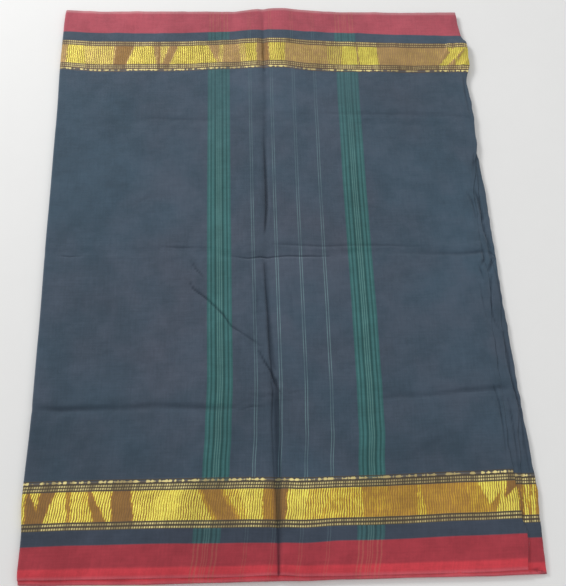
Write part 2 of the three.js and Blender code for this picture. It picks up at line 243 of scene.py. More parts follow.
# Sharp creases of the top stretch: a path of places with how deep the crease is there, which also sets the
# shade painted into the colour there. A crease is a narrow trough with a lip beside it: on the left of the
# path where side is 1, on the right where it is -1.
PRESSED_LINES = (
    # the old middle fold above the cross crease: a soft trough with a sharp line in it
    crease(
        half=10.0, lip=0.2, side=1,
        path=((-6, 410, 0.5), (-7, 330, 0.6), (-9, 220, 0.7), (-10, 90, 0.9), (-12, 40, 0.3)),
    ),
    crease(
        half=4.0, lip=0.35, side=1,
        path=(
            (-9, 290, 0.1), (-11, 240, 0.3), (-10, 190, 1.2), (-9, 130, 1.7), (-9, 90, 1.8),
            (-12, 58, 1.6), (-14, 34, 0.5),
        ),
    ),
    # the same fold below the cross crease
    crease(
        half=9.0, lip=0.2, side=1,
        path=((-15, -24, 0.5), (-13, -80, 0.9), (-11, -150, 1.3), (-8, -200, 1.2), (-4, -246, 0.9)),
    ),
    crease(
        half=3.0, lip=0.3, side=-1,
        path=((-16, -30, 0.6), (-15, -70, 0.9), (-12, -130, 1.1), (-11, -200, 1.2), (-8, -240, 1.4)),
    ),
    crease(
        half=9.5, lip=0.25, side=1,
        path=(
            (-2, -246, 1.2), (-2, -270, 1.9), (-3, -340, 1.8), (-3, -395, 1.8), (-4, -470, 1.5),
            (-5, -520, 0.9), (-6, -552, 0.7),
        ),
    ),
    crease(
        half=3.2, lip=0.2, side=1,
        path=(
            (-12, -236, 0.3), (-8, -262, 1.2), (-11, -320, 1.0), (-10, -395, 0.8), (-7, -440, 0.6),
            (-6, -500, 0.9), (-7, -552, 1.5),
        ),
    ),
    crease(
        half=2.6, lip=0.2, side=-1,
        path=((0, -256, 0.6), (2, -300, 0.8), (1, -350, 0.7), (1, -398, 0.5), (0, -430, 0.2)),
    ),
    # through the border at the back
    crease(
        half=6.0, lip=0.3, side=-1,
        path=((-6, 404, 0.7), (-7, 440, 1.0), (-7, 480, 0.7), (-6, 540, 0.3)),
    ),
    # the long slanting wrinkle and its short neighbour
    crease(
        half=3.1, lip=0.25, side=1,
        path=(
            (-147, -58, 0.3), (-139, -75, 1.6), (-115, -95, 2.0), (-88, -125, 2.1), (-75, -147, 1.4),
            (-60, -157, 1.1), (-35, -176, 1.0), (-27, -184, 0.3),
        ),
    ),
    crease(
        half=3.4, lip=0.3, side=1,
        path=(
            (-29, -193, 0.8), (-20, -212, 1.7), (-10, -230, 2.1), (-3, -250, 2.3), (1, -262, 1.4),
            (8, -268, 0.4),
        ),
    ),
    crease(half=3.6, lip=0.2, side=1, path=((-145, -18, 0.3), (-137, -34, 1.4), (-121, -54, 0.5))),
    # small wrinkles across the fold
    crease(half=4.0, lip=0.3, side=1, path=((-44, -270, 0.2), (-26, -272, 0.8), (-8, -270, 0.5))),
    crease(half=4.5, lip=0.3, side=-1, path=((6, -270, 0.6), (26, -266, 0.5), (50, -262, 0.1))),
    crease(half=4.0, lip=0.3, side=1, path=((-64, -296, 0.2), (-44, -290, 0.8), (-24, -290, 0.3))),
    # the cross crease in the middle, in four stretches
    crease(
        half=3.3, lip=0.5, side=-1,
        path=(
            (-74, -12, 0.3), (-44, -17, 0.9), (-24, -14, 1.2), (-10, -15, 1.2), (20, -13, 1.0),
            (60, -13, 1.1), (98, -13, 0.4),
        ),
    ),
    crease(half=2.6, lip=0.3, side=1, path=((-192, 8, 0.3), (-170, 6, 1.1), (-140, 6, 0.4), (-90, 4, 0.2))),
    crease(
        half=4.5, lip=0.5, side=-1,
        path=((-2, 12, 0.3), (30, 10, 0.8), (84, 7, 0.8), (140, 9, 0.8), (210, 7, 0.6), (262, 4, 0.3)),
    ),
    crease(
        half=8.5, lip=0.6, side=1,
        path=((225, -5, 0.2), (290, -10, 0.6), (340, -10, 0.8), (372, -6, 1.3)),
    ),
    crease(half=3.0, lip=0.2, side=1, path=((-372, -8, 0.3), (-355, -11, 0.9), (-338, -10, 0.3))),
    # the lower cross crease
    crease(
        half=10.0, lip=0.25, side=-1,
        path=(
            (-388, -286, 0.8), (-350, -289, 1.2), (-300, -288, 1.0), (-250, -288, 0.6), (-195, -285, 0.7),
            (-110, -290, 1.0), (-80, -290, 0.6), (-60, -290, 0.2),
        ),
    ),
    crease(
        half=9.0, lip=0.35, side=-1,
        path=(
            (168, -279, 0.2), (196, -275, 0.6), (250, -274, 0.6), (300, -268, 0.8), (345, -265, 0.9),
            (378, -262, 0.9),
        ),
    ),
    # the upper cross crease
    crease(half=7.0, lip=0.4, side=1, path=((-240, 288, 0.2), (-190, 286, 0.5), (-110, 283, 0.2))),
    crease(
        half=9.0, lip=0.9, side=-1,
        path=((20, 297, 0.2), (120, 300, 0.4), (240, 298, 0.6), (330, 296, 0.5), (388, 290, 0.3)),
    ),
    # faint wrinkles at the lower right, the middle and the left
    crease(
        half=9.0, lip=0.3, side=1,
        path=((196, -382, 0.1), (232, -362, 0.35), (272, -344, 0.3), (306, -334, 0.1)),
    ),
    crease(half=7.0, lip=0.3, side=1, path=((212, -342, 0.1), (250, -330, 0.3), (282, -318, 0.1))),
    crease(
        half=5.0, lip=0.2, side=-1,
        path=((-44, -30, 0.2), (-30, -95, 0.5), (-34, -150, 0.4), (-40, -176, 0.2)),
    ),
    crease(half=4.0, lip=0.2, side=1, path=((12, -34, 0.2), (26, -90, 0.4), (30, -140, 0.2))),
    crease(half=7.0, lip=0.3, side=1, path=((-252, 92, 0.2), (-222, 112, 0.5), (-186, 116, 0.2))),
    # short dents along the right end
    crease(half=3.0, lip=0.4, side=1, path=((385, 206, 0.3), (382, 186, 1.2), (378, 166, 0.3))),
    crease(half=4.0, lip=0.4, side=1, path=((360, 118, 0.3), (368, 98, 1.0), (371, 62, 0.5))),
    crease(half=4.0, lip=0.4, side=-1, path=((377, 6, 0.6), (374, -22, 1.5), (366, -36, 0.5))),
    crease(half=3.4, lip=0.4, side=1, path=((362, -32, 0.4), (365, -46, 1.1), (368, -62, 0.4))),
    crease(half=2.4, lip=0.3, side=-1, path=((360, -70, 0.2), (361, -100, 0.7), (362, -136, 0.2))),
    crease(
        half=3.0, lip=0.3, side=1,
        path=((358, -258, 0.4), (363, -288, 1.4), (364, -330, 0.9), (362, -372, 0.3)),
    ),
    crease(half=3.0, lip=0.4, side=-1, path=((387, 392, 0.4), (386, 350, 1.2), (388, 300, 0.5))),
)

# Dents of the second and third stretch alone, where they show beyond the top one. Their depth also paints
# shade into the colour: the dark line where the top stretch ends.
EDGE_DENTS = (
    crease(half=5.5, lip=0.3, side=1, path=((376, 122, 0.5), (381, 105, 1.5), (383, 64, 1.5))),
    crease(half=4.0, lip=0.3, side=-1, path=((383, 62, 0.9), (383, 35, 1.4), (390, 2, 1.2))),
    crease(half=6.0, lip=0.3, side=1, path=((384, 4, 0.9), (393, -16, 1.8), (380, -43, 1.2))),
    crease(
        half=2.8, lip=0.2, side=1,
        path=((384, -50, 0.9), (376, -92, 1.3), (374, -131, 1.2), (381, -155, 0.6)),
    ),
    crease(
        half=3.4, lip=0.3, side=1,
        path=(
            (387, -164, 0.4), (391, -201, 1.4), (391, -247, 1.4), (394, -272, 1.7), (398, -306, 1.1),
            (395, -359, 1.3), (397, -400, 0.7),
        ),
    ),
    crease(half=3.0, lip=0.3, side=-1, path=((378, -282, 0.6), (381, -318, 1.2), (380, -400, 0.7))),
    crease(half=4.0, lip=0.3, side=1, path=((374, -554, 0.3), (385, -557, 1.7), (398, -562, 1.5))),
)

# The creases' depth also paints shade into the colour, full at this depth.
DEEPEST = 1.5  # crease depth at which its shade is full
CREASE_POWER = 1.5  # of the bell across a crease
LIP_AT = 1.6  # middle of a lip, in halves of its crease
LIP_HALF = 1.4  # half of a lip, in halves of its crease

# Ridges of the crumpled gold where the top stretch ends, at the back and at the front.
GOLD_RIDGES = (
    ridge(half=6.0, path=((344, 426, 0.4), (358, 446, 1.6), (366, 470, 1.8), (378, 480, 0.6))),
    ridge(half=5.5, path=((364, 408, 0.4), (374, 428, 1.8), (388, 444, 2.2), (402, 462, 0.8))),
    ridge(half=5.0, path=((378, 406, 0.6), (392, 420, 1.8), (404, 432, 1.0))),
    ridge(half=5.0, path=((376, 478, 0.6), (388, 468, 1.6), (400, 474, 1.0))),
    ridge(half=6.0, path=((318, -424, 0.3), (332, -438, 1.0), (342, -456, 0.9), (350, -470, 0.3))),
    ridge(half=5.0, path=((344, -414, 0.3), (356, -432, 1.1), (362, -452, 0.9), (366, -470, 0.4))),
)

# Painted highlights on the gold of each border, for how it takes the light: patches from left to right,
# laid over one another. Each has its ends on the outer edge of the gold band and on the inner one, and how
# bright it is painted, from dull at 0. A patch whose right end lies left of its left end on one edge is a
# wedge that ends before that edge.
FRONT_FOIL = table(
    "left_out right_out left_in right_in bright",
    (-430, 430, -430, 430, 0.48),
    (-430, -389, -430, -388, 0.85),
    (-389, -362, -388, -345, 0.12),
    (-364, -374, -384, -368, 0.85),
    (-362, -326, -345, -329, 0.98),
    (-326, -320, -329, -322, 0.45),
    (-320, -305, -322, -301, 0.86),
    (-305, -284, -301, -272, 0.74),
    (-286, -268, -297, -290, 0.26),
    (-267, -258, -290, -259, 0.85),
    (-258, -226, -259, -230, 0.1),
    (-226, -96, -230, -122, 0.84),
    (-204, -160, -186, -150, 1.25),
    (-106, -50, -128, -76, 0.56),
    (-98, -68, -122, -94, 0.36),
    (-62, -46, -88, -62, 0.7),
    (-50, -29, -64, -26, 1.04),
    (-29, -12, -26, -11, 0.44),
    (-12, 7, -11, 12, 0.12),
    (7, 34, 12, 46, 1.04),
    (34, 60, 46, 84, 0.72),
    (60, 128, 84, 128, 0.68),
    (128, 170, 128, 170, 0.54),
    (208, 226, 216, 219, 0.66),
    (296, 330, 290, 312, 0.56),
    (334, 371, 352, 380, 1.0),
    (332, 316, 310, 357, 1.04),
    (345, 328, 357, 381, 0.12),
    (372, 378, 375, 381, 0.12),
    (378, 396, 381, 402, 0.98),
    (387, 389, 380, 383, 0.3),
    (386, 388, 393, 397, 0.34),
)
BACK_FOIL = table(
    "left_out right_out left_in right_in bright",
    (-430, 430, -430, 430, 0.5),
    (-392, -360, -392, -354, 1.06),
    (-360, -298, -354, -300, 0.76),
    (-298, -262, -300, -275, 0.3),
    (-262, -222, -275, -210, 0.94),
    (-224, -212, -216, -212, 0.5),
    (-214, -210, -214, -210, 0.2),
    (-210, -190, -210, -200, 0.78),
    (-192, -176, -205, -191, 0.36),
    (-176, -117, -191, -97, 1.0),
    (-115, -95, -97, -95, 0.5),
    (-95, -84, -96, -86, 0.74),
    (-84, -56, -86, -52, 0.52),
    (-56, -42, -52, -42, 0.72),
    (-42, -20, -42, -20, 1.02),
    (-20, -10, -20, -10, 0.42),
    (-10, 3, -10, 4, 0.24),
    (4, 37, 5, 35, 1.0),
    (37, 120, 36, 120, 0.58),
    (120, 151, 120, 148, 0.76),
    (151, 219, 148, 221, 1.4),
    (178, 182, 180, 183, 0.4),
    (304, 350, 304, 344, 0.54),
    (378, 402, 343, 358, 1.35),
    (362, 371, 380, 384, 1.2),
    (402, 430, 375, 430, 1.3),
)
GOLD_EDGES = {"front": (-468.0, -422.0), "back": (466.0, 421.0)}  # outer and inner edge, as y

# The woven border, outwards in: distances from the selvedge.
BRIGHT_STRIP = 17.0
RED_WIDTH = 54.0
# Width of the palest painted haze at the back edge.
BACK_RIM = 6.0
PINK_RIM = 4.0
GOLD_LINE = 150.3
BORDER_START = 76.5
BORDER_END = 156.0
GOLD_START = 89.2
GOLD_END = 136.5
RIB_HEIGHT = 0.12
DARK_THREADS = table("at half", (82.9, 6.2), (143.2, 6.5), (154.0, 0.8))
DOTTED_LINES = (79.3, 85.2, 140.3, 145.1)
DOT_PITCH = 3.75
CHAIN_LINE = 151.1
CHAIN_PITCH = 9.0
WEAVE_HEIGHT = 0.05
# Tint of the shade painted into the colour in creases.
SHADE_TINT = (1.08, 1.0, 0.92)  # the shade in a crease, for red, green and blue light
BRIGHTEST = 1.5  # light on the foil at the last stop of its colours
PATCH_EDGE = 0.24  # share of a patch gained over each mm at its ends
PATCH_SHAKE = 9.0  # how far the noise moves a patch's ends, in all
RIB_SHAKE = 5.0  # how far the noise moves a rib, at most
CHAIN_SHAKE = 14.0  # and a scallop
DOT_HALF = 1.4

# How much of one colour lies over another.
EDGE_SHARE = 0.7  # of the navy edge over the field, in front
GREEN_SPARED = 0.5  # of the green bands from the navy edge
PINK_SHARE = 0.4
TAN_SHARE = 0.32
DARK_SHARE = 0.88
BASE_SHARE = 0.45
# Painted shade: the gold is painted darker at the back.
BACK_DIMMING = 0.2  # of the foil at the back

# The crosswise stripes of the end piece, along the cloth.
GREEN_BANDS = (-95.3, 153.5)
GREEN_BAND_HALF = 21.2
GREEN_THREADS = table(
    "at half shade",
    (17.2, 1.2, 0.6),
    (14.2, 1.0, -0.3),
    (11.0, 1.4, 0.6),
    (6.8, 1.1, -0.45),
    (3.6, 0.7, 0.85),
    (1.8, 0.5, -0.1),
    (0.0, 0.7, 0.85),
)
# Broad spots where the ground is lighter (or darker) and warmer (or cooler): partly the dye's own uneven
# tone, partly painted light, lighter at the back and darker in front.
TONE_AND_LIGHT_SPOTS = table(
    "x y reach_x reach_y lighter warmer",
    (-140, -140, 200, 240, 0.08, 0.36),
    (60, 30, 220, 130, 0.1, 0.3),
    (0, 380, 340, 140, 0.12, 0.0),
    (-340, 200, 160, 280, -0.05, -0.5),
    (-340, -370, 220, 140, -0.15, 0.0),
    (270, -380, 220, 90, -0.07, 0.0),
    (320, 120, 170, 300, 0.06, -0.25),
)
WARMTH = 0.32  # of the ground away from the spots
WARMTH_CHANCE = 0.2  # more or less than that, in patches
PALE_PAIRS = (-35.4, 5.7, 48.0, 89.7)
PALE_PAIR_APART = 2.0
# Where along the cloth's width the crosswise threads grow fainter, in metres from the middle.
GREEN_FADE = (0.1, 0.42)
PALE_FADE = (0.0, 0.4)


# Chance waves of the top stretch, of the right ends and of the hidden layers' edges.
FIELD_WAVES = dict(seed=5, waves=10, shortest=18, longest=150, height=0.8)
END_WAVES = dict(waves=4, shortest=16, longest=60, height=0.9)
EDGE_WAVES = dict(seed=11, waves=5, shortest=45, longest=240, height=0.7)


# ---------------------------------------------------------------- the pile's form


def eased(rows, key, place, column):
    """A column's value between its rows, along the S curve 3t² - 2t³, so that no corner shows."""
    places, values = rows[key], rows[column]
    at = np.clip(place, places[0], places[-1])
    after = np.clip(np.searchsorted(places, at, side="right"), 1, len(places) - 1)
    share = (at - places[after - 1]) / (places[after] - places[after - 1])
    share = share * share * (3 - 2 * share)
    return values[after - 1] + (values[after] - values[after - 1]) * share


def bell(distance):
    """Half of 1 plus the cosine: 1 at zero, fading to 0 at one."""
    return 0.5 * (1 + np.cos(np.pi * np.minimum(np.abs(distance), 1)))


def swells(rows, x, y):
    """Sum of low swellings, each its height times a bell across and a bell along."""
    total = np.zeros(np.broadcast(x, y).shape)
    for middle_x, middle_y, reach_x, reach_y, height in zip(*rows.values()):
        total += height * bell((x - middle_x) / reach_x) * bell((y - middle_y) / reach_y)
    return total


def lift(x, y):
    """How far the pile stands above its even height: swellings and shoulders less the troughs."""
    total = swells(SWELLINGS, x, y)
    for trough in CROSS_CREASES:
        line = trough["y"] + eased(trough["path"], "x", x, "shift")
        total -= eased(trough["path"], "x", x, "depth") * bell((y - line) / trough["half"])
    from_fold = np.abs(x - eased(MIDDLE_FOLD, "y", y, "x"))
    total += SHOULDER_HEIGHT * bell((from_fold - SHOULDER_AT) / SHOULDER_AT)
    total -= eased(MIDDLE_FOLD, "y", y, "depth") * bell(from_fold / MIDDLE_FOLD_HALF)
    from_front = y - eased(CLOTH_LINES, "x", x, "front_below")
    return total - FRONT_DROP * np.clip(1 - from_front / SELVEDGE_MARGIN, 0, 1)


def path_field(path, x, y):
    """Signed distance to a path, and the path's depth at the nearest place.

    For each straight stretch the foot of the perpendicular is clamped to the stretch, and the nearest
    stretch wins. The sign is positive on the left of the path.
    """
    nearest = np.full(np.broadcast(x, y).shape, np.inf)
    signed = np.zeros_like(nearest)
    depth = np.zeros_like(nearest)
    places = list(zip(path["x"], path["y"], path["depth"]))
    for (x0, y0, d0), (x1, y1, d1) in zip(places, places[1:]):
        dx, dy = x1 - x0, y1 - y0
        share = np.clip(((x - x0) * dx + (y - y0) * dy) / (dx * dx + dy * dy), 0, 1)
        off_x, off_y = x - x0 - share * dx, y - y0 - share * dy
        off = np.hypot(off_x, off_y)
        closer = off < nearest
        nearest = np.where(closer, off, nearest)
        signed = np.where(closer, np.copysign(off, dx * off_y - dy * off_x), signed)
        depth = np.where(closer, d0 + (d1 - d0) * share, depth)
    return signed, depth


def pressed(x, y, lines):
    """Sum of sharp creases: minus depth times a power of a bell, plus a broader bell beside it as a lip."""
    total = np.zeros(np.broadcast(x, y).shape)
    for row in lines:
        signed, depth = path_field(row["path"], x, y)
        half = row["half"]
        total -= depth * bell(signed / half) ** CREASE_POWER
        total += row["lip"] * depth * bell((signed * row["side"] - LIP_AT * half) / (LIP_HALF * half))
    return total


def crumples(x, y):
    """Sum of the ridges in the crumpled gold, each a bell across its path."""
    total = np.zeros(np.broadcast(x, y).shape)
    for row in GOLD_RIDGES:
        signed, height = path_field(row["path"], x, y)
        total += height * bell(signed / row["half"])
    return total


def ripples(x, y, seed, waves, shortest, longest, height):
    """Sum of sine waves in chance directions, their lengths spaced evenly in ratio, shortest to longest."""
    chance = np.random.default_rng(seed)
    total = np.zeros(np.broadcast(x, y).shape)
    for length in np.geomspace(shortest, longest, waves):
        angle, phase = chance.uniform(0, 2 * np.pi, 2)
        share = height * np.sqrt(length / longest) / np.sqrt(waves)
        total += share * np.sin(2 * np.pi * (x * np.cos(angle) + y * np.sin(angle)) / length + phase)
    return total


def pallu_relief(x, y):
    """The top stretch's own form: its puffed corners, the crumpled gold and a small unevenness."""
    return swells(PALLU_PUFFS, x, y) + crumples(x, y) + ripples(x, y, **FIELD_WAVES)


def no_relief(x, y):
    """Nothing, at every place."""
    return np.zeros(np.broadcast(x, y).shape)


def turn_at(y):
    """Where the flat of every layer starts, at the middle of the turn round the left fold."""
    return eased(LEFT_FOLD, "y", y, "x") + PILE_HEIGHT / 2


# ---------------------------------------------------------------- grids on the cloth


FINE_PLACES = 6001  # for the running sum


def graded(start, end, count, spots):
    """Places from start to end, crowded near the spots.

    The density is 1, or 1 plus gain times a bell of the distance to a spot over its reach, whichever is
    most. The places share out its running sum evenly.
    """
    fine = np.linspace(start, end, FINE_PLACES)
    density = np.ones_like(fine)
    for place, reach, gain in zip(*spots.values()):
        density = np.maximum(density, 1 + gain * bell((fine - place) / reach))
    total = np.concatenate([[0], np.cumsum((density[1:] + density[:-1]) / 2)])
    return np.interp(np.linspace(0, total[-1], count), total, fine)


# Where rows and columns of a grid crowd together, across and along the cloth.
ACROSS_SPOTS = table(
    "place reach gain",
    (0, 12, 3),
    (275, 16, 4),
    (298, 10, 2),
    (420, 150, 1.6),
    (545, 12, 7),
    (560, 22, 3),
    (842, 16, 2),
    (985, 60, 1.6),
    (CLOTH_WIDTH, 10, 2),
)
ALONG_SPOTS = table(
    "place reach gain",
    (-10, 16, 6),
    (-4, 8, 7),
    (-75, 90, 1.6),
    (362, 40, 2.4),
    (384, 12, 5),
)
HIDDEN_SPOTS = table("place reach gain", (-8, 34, 1.5), (385, 40, 2), (-392, 20, 2))
# Even places of the left turn, the old middle fold and the right end, before a grid follows their lines,
# and how far each shift reaches.
LEFT_NOMINAL, FOLD_NOMINAL, RIGHT_NOMINAL = -392.0, -9.0, 385.0
EDGE_REACH = 110.0
FOLD_REACH = 80.0


def across_to_y(across, x, slipped):
    """Where a lengthways thread lies: straight between the six lines that the cloth's own lines follow."""
    front, back = ("front_below", "back_below") if slipped else ("front", "back")
    slip = SECOND_SLIP if slipped else 0.0
    marks = (0.0, RED_WIDTH, GOLD_LINE, CLOTH_WIDTH - GOLD_LINE, CLOTH_WIDTH - RED_WIDTH, CLOTH_WIDTH)
    names = (front, "front_red", "front_gold", "back_gold", "back_red", back)
    lines = [eased(CLOTH_LINES, "x", x, name) for name in names]
    lines[1:5] = [line - slip for line in lines[1:5]]
    y = lines[0] + np.zeros(np.broadcast(across, x).shape)
    for start, end, low, high in zip(marks, marks[1:], lines, lines[1:]):
        y += (high - low) * np.clip((across - start) / (end - start), 0, 1)
    return y


def flat_grid(along, across, right_end, slipped=False):
    """Places of a stretch as seen from above: rows are threads of the cloth from front to back.

    The first and last column follow the turn and the right end, the middle ones the old fold, and a bell
    of the distance spreads each shift over its neighbours.
    """
    y = across_to_y(across[:, None], along[None, :], slipped)
    x = along[None, :] + 0 * y
    x = x + (turn_at(y) - LEFT_NOMINAL) * bell((x - LEFT_NOMINAL) / EDGE_REACH)
    x = x + (right_end(y) - RIGHT_NOMINAL) * bell((RIGHT_NOMINAL - along) / EDGE_REACH)[None, :]
    fold = eased(MIDDLE_FOLD, "y", y, "x") - FOLD_NOMINAL
    return x + fold * bell((along - FOLD_NOMINAL) / FOLD_REACH)[None, :], y


def drift(x, y):
    """Sideways drift of the crosswise threads, blended straight from the left band to the right one."""
    share = np.clip((x - GREEN_BANDS[0]) / (GREEN_BANDS[1] - GREEN_BANDS[0]), 0, 1)
    left, right = (eased(THREAD_DRIFT, "y", y, side) for side in ("left", "right"))
    return left + (right - left) * share


def thread_place(x, y):
    """Place along the cloth of the crosswise thread that passes through a point."""
    return x - drift(x, y)


# ---------------------------------------------------------------- closed shells


def lowered(height):
    """The lowest of each height and its eight neighbours: a coarse lower face then never cuts through."""
    padded = np.pad(height, 1, mode="edge")
    return np.lib.stride_tricks.sliding_window_view(padded, (3, 3)).min(axis=(2, 3))


def rim_of(names):
    """The outermost names of a grid, once round from the front left corner."""
    return np.concatenate([names[0, :-1], names[:-1, -1], names[-1, :0:-1], names[:0:-1, 0]])


def quads_of(names):
    """Four names for each cell of a grid, turned so that the cell faces up."""
    corners = (names[:-1, :-1], names[:-1, 1:], names[1:, 1:], names[1:, :-1])
    return np.stack(corners, -1).reshape(-1, 4)


def shell_mesh(name, upper, lower, along, across, hollow):
    """A closed sheet from two grids of points in mm. The lower one may have every second point alone.

    Its faces are the upper cells, the lower cells turned over, and a rim: one quad for each step, or a
    fan of three triangles where two upper steps meet one lower step.
    """
    fine = np.arange(upper[..., 0].size).reshape(upper.shape[:2])
    every = (upper.shape[0] - 1) // (lower.shape[0] - 1)
    coarse = fine.size + np.arange(lower[..., 0].size).reshape(lower.shape[:2])
    top, low = rim_of(fine), rim_of(coarse)
    after = np.roll(low, -1)
    faces = quads_of(fine).tolist() + quads_of(coarse)[:, ::-1].tolist()
    if every == 1:
        faces += np.stack([low, after, np.roll(top, -1), top], -1).tolist()
    else:
        first, middle, last = top[::2], top[1::2], np.roll(top, -2)[::2]
        fans = ((low, middle, first), (low, after, middle), (after, last, middle))
        faces += np.concatenate([np.stack(fan, -1) for fan in fans]).tolist()
    points = np.concatenate([upper.reshape(-1, 3), lower.reshape(-1, 3)])
    points[:, :2] += LAYOUT_SHIFT
    mesh = bpy.data.meshes.new(name)
    mesh.from_pydata(points * MM, [], faces)
    pick = (slice(None, None, every), slice(None, None, every))
    both = [np.concatenate([grid.ravel(), grid[pick].ravel()]) for grid in (along, across, hollow)]
    corner = np.empty(len(mesh.loops), np.int32)
    mesh.loops.foreach_get("vertex_index", corner)
    threads = mesh.uv_layers.new(name="threads")
    threads.uv.foreach_set("vector", (np.stack(both[:2], -1)[corner] * MM).astype(np.float32).ravel())
    # Each point's painted crease shade, kept as an attribute.
    shade = mesh.attributes.new("hollow", "FLOAT", "POINT")
    shade.data.foreach_set("value", both[2].astype(np.float32))
    mesh.shade_smooth()
    return mesh


def lay_materials(mesh, cotton, zari):
    """Cotton everywhere, and zari where the middle of a face lies in one of the two woven borders."""
    mesh.materials.append(cotton)
    mesh.materials.append(zari)
    across = np.empty(len(mesh.loops) * 2, np.float32)
    mesh.uv_layers["threads"].uv.foreach_get("vector", across)
    starts = np.empty(len(mesh.polygons), np.int32)
    sizes = np.empty(len(mesh.polygons), np.int32)
    mesh.polygons.foreach_get("loop_start", starts)
    mesh.polygons.foreach_get("loop_total", sizes)
    middle = np.add.reduceat(across[1::2] / MM, starts) / sizes
    distance = np.minimum(middle, CLOTH_WIDTH - middle)
    inside = (distance > BORDER_START) & (distance < BORDER_END)
    mesh.polygons.foreach_set("material_index", inside.astype(np.int32))


# From places in the tables to places in the frame, in mm.
LAYOUT_SHIFT = (
    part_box("pallu_panel")[0].x / MM - LEFT_FOLD["x"].min(),
    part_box("pallu_panel")[0].y / MM - CLOTH_LINES["front"].min(),
)


# ---------------------------------------------------------------- the stretches that show

TURN_STEPS = 16
STILL_REACH = 30.0  # beside the left turn, over which the creases fade in
PALLU_SETTLE = 0.75  # how far the free ends lie down
UNDER_SETTLE = 0.6
END_SETTLE_REACH = 9.0
SIDE_SETTLE_REACH = 8.0
PALLU_GRID = (229, 321)  # places along the flat and threads across
UNDER_GRID = (141, 241)
# The stretches below the top one, and their share of its sharp creases.
UNDER_STRETCHES = (
    dict(
        name="second_cloth",
        node="second_panel",
        column="second",
        top=SECOND_TOP,
        share=0.7,
        rests_on="third_cloth",
    ),
    dict(
        name="third_cloth",
        node="third_panel",
        column="third",
        top=THIRD_TOP,
        share=0.3,
        rests_on="hidden_cloth_upper",
    ),
)


def snapped(places, marks):
    """Places with the nearest one moved onto each mark, so that a border starts on a row of its own."""
    places = places.copy()
    for mark in marks:
        places[np.abs(places - mark).argmin()] = mark
    return places


def border_marks():
    """Where the parts of both woven borders start, across the cloth."""
    near = (RED_WIDTH, BORDER_START, GOLD_START, GOLD_END, BORDER_END)
    return near + tuple(CLOTH_WIDTH - mark for mark in near)


def turned_down(x, y, top, wall, drop_to):
    """The half turn on the left: a half circle of steps from each row's first place down to drop_to.

    The outer points are the circle's middle less its radius times the sine, and plus its radius times the
    cosine, and the inner ones have a radius one wall less.
    """
    angles = np.linspace(np.pi, 0, TURN_STEPS, endpoint=False)[None, :]
    radius = (top[:, :1] - drop_to) / 2
    middle = drop_to + radius
    turn_x, turn_y = x[:, :1], y[:, :1]
    outer = (turn_x - radius * np.sin(angles), middle + radius * np.cos(angles))
    inner = (turn_x - (radius - wall) * np.sin(angles), middle + (radius - wall) * np.cos(angles))
    arc = turn_x - radius * angles
    return outer, inner, arc, turn_y + 0 * angles


def edge_settle(x, y, right_end, front, back):
    """1 within the cloth, fading to 0 at its free ends, where a cut or woven edge lies down."""
    to_right = np.clip((right_end(y) - x) / END_SETTLE_REACH, 0, 1)
    to_sides = np.clip(np.minimum(y - front, back - y) / SIDE_SETTLE_REACH, 0, 1)
    near = np.minimum(to_right, to_sides)
    return near * near * (3 - 2 * near)


def cloth_stretch(name, top, grid, right_end, wall, slipped, strength, dents, extra, drop_to, settle):
    """One stretch of cloth as a closed shell, turned down round the left fold to a height of its own.

    Its upper height is an even one plus the pile's lift, a share of the sharp creases, its own dents and
    extra form, less what it settles by at its free ends. The lower face lies a wall below.
    """
    along = graded(LEFT_NOMINAL, RIGHT_NOMINAL, grid[0], ALONG_SPOTS)
    across = snapped(graded(0, CLOTH_WIDTH, grid[1], ACROSS_SPOTS), border_marks())
    x, y = flat_grid(along, across, right_end, slipped)
    front, back = y[:1], y[-1:]
    still = np.clip((x - x[:, :1]) / STILL_REACH, 0, 1)
    sharp = (strength * pressed(x, y, PRESSED_LINES) + pressed(x, y, dents)) * still
    height = top + lift(x, y) + sharp + extra(x, y) * still
    height = height - settle * (1 - edge_settle(x, y, right_end, front, back))
    outer, inner, arc, turn_y = turned_down(x, y, height, wall, drop_to)
    upper = np.dstack([np.hstack([outer[0], x]), np.hstack([turn_y, y]), np.hstack([outer[1], height])])
    under = lowered(height) - wall
    under[:, 0] = height[:, 0] - wall
    lower = np.dstack([np.hstack([inner[0], x]), np.hstack([turn_y, y]), np.hstack([inner[1], under])])
    threads = thread_place(np.hstack([arc, x]), upper[..., 1])
    over = across[:, None] + 0 * threads
    # Painted crease shade: how far the colour is darkened, from the depth of the sharp creases.
    hollow = np.hstack([0 * arc, np.clip(-sharp / DEEPEST, 0, 1)])
    return shell_mesh(name, upper, lower[::2, ::2], threads, over, hollow)


def add_piece(mesh, node):
    """The mesh as an object that stands for one CAD node."""
    piece = bpy.data.objects.new(mesh.name, mesh)
    bpy.context.scene.collection.objects.link(piece)
    lay_materials(mesh, cotton_material(), zari_material())
    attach(piece, BODY)
    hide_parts(node)
    return piece


def right_of(column, slip=0.0, seed=0):
    """The right end of a stretch, with a little chance waviness of its own."""

    def end(y):
        """x of the right end at a row's y."""
        return eased(RIGHT_ENDS, "y", y + slip, column) + ripples(0 * y, y, seed, **END_WAVES)

    return end


# ---------------------------------------------------------------- the layers below

STRIP_ROWS = 181
FLAT_COLUMNS = 40
ARC_STEPS = 8
WALL_SHARE = 0.13  # of the hidden height
HIDDEN_STEPS = 4  # between the five hidden layers
EDGE_DRAW_REACH = 60.0  # over which an edge that draws back takes the cloth along
LAYER_APART = 40.0  # between the waves of one layer's edge and the next one's
# How far each hidden layer's selvedges and its right end draw back from the pile's edge, from the top down.
HIDDEN_EDGES = table(
    "layer front back right",
    (4, 1.8, 1.2, 1.3),
    (5, 0.8, 1.0, 3.0),
    (6, 2.5, 3.0, 3.4),
    (7, 0.3, 0.5, 3.4),
    (8, 1.5, 2.0, 3.0),
)


def layer_share(layer):
    """Middle of a hidden layer's wall as a share of the hidden height: layer 8 lies on the table."""
    return WALL_SHARE / 2 + (LAYERS - layer) * (1 - WALL_SHARE) / HIDDEN_STEPS


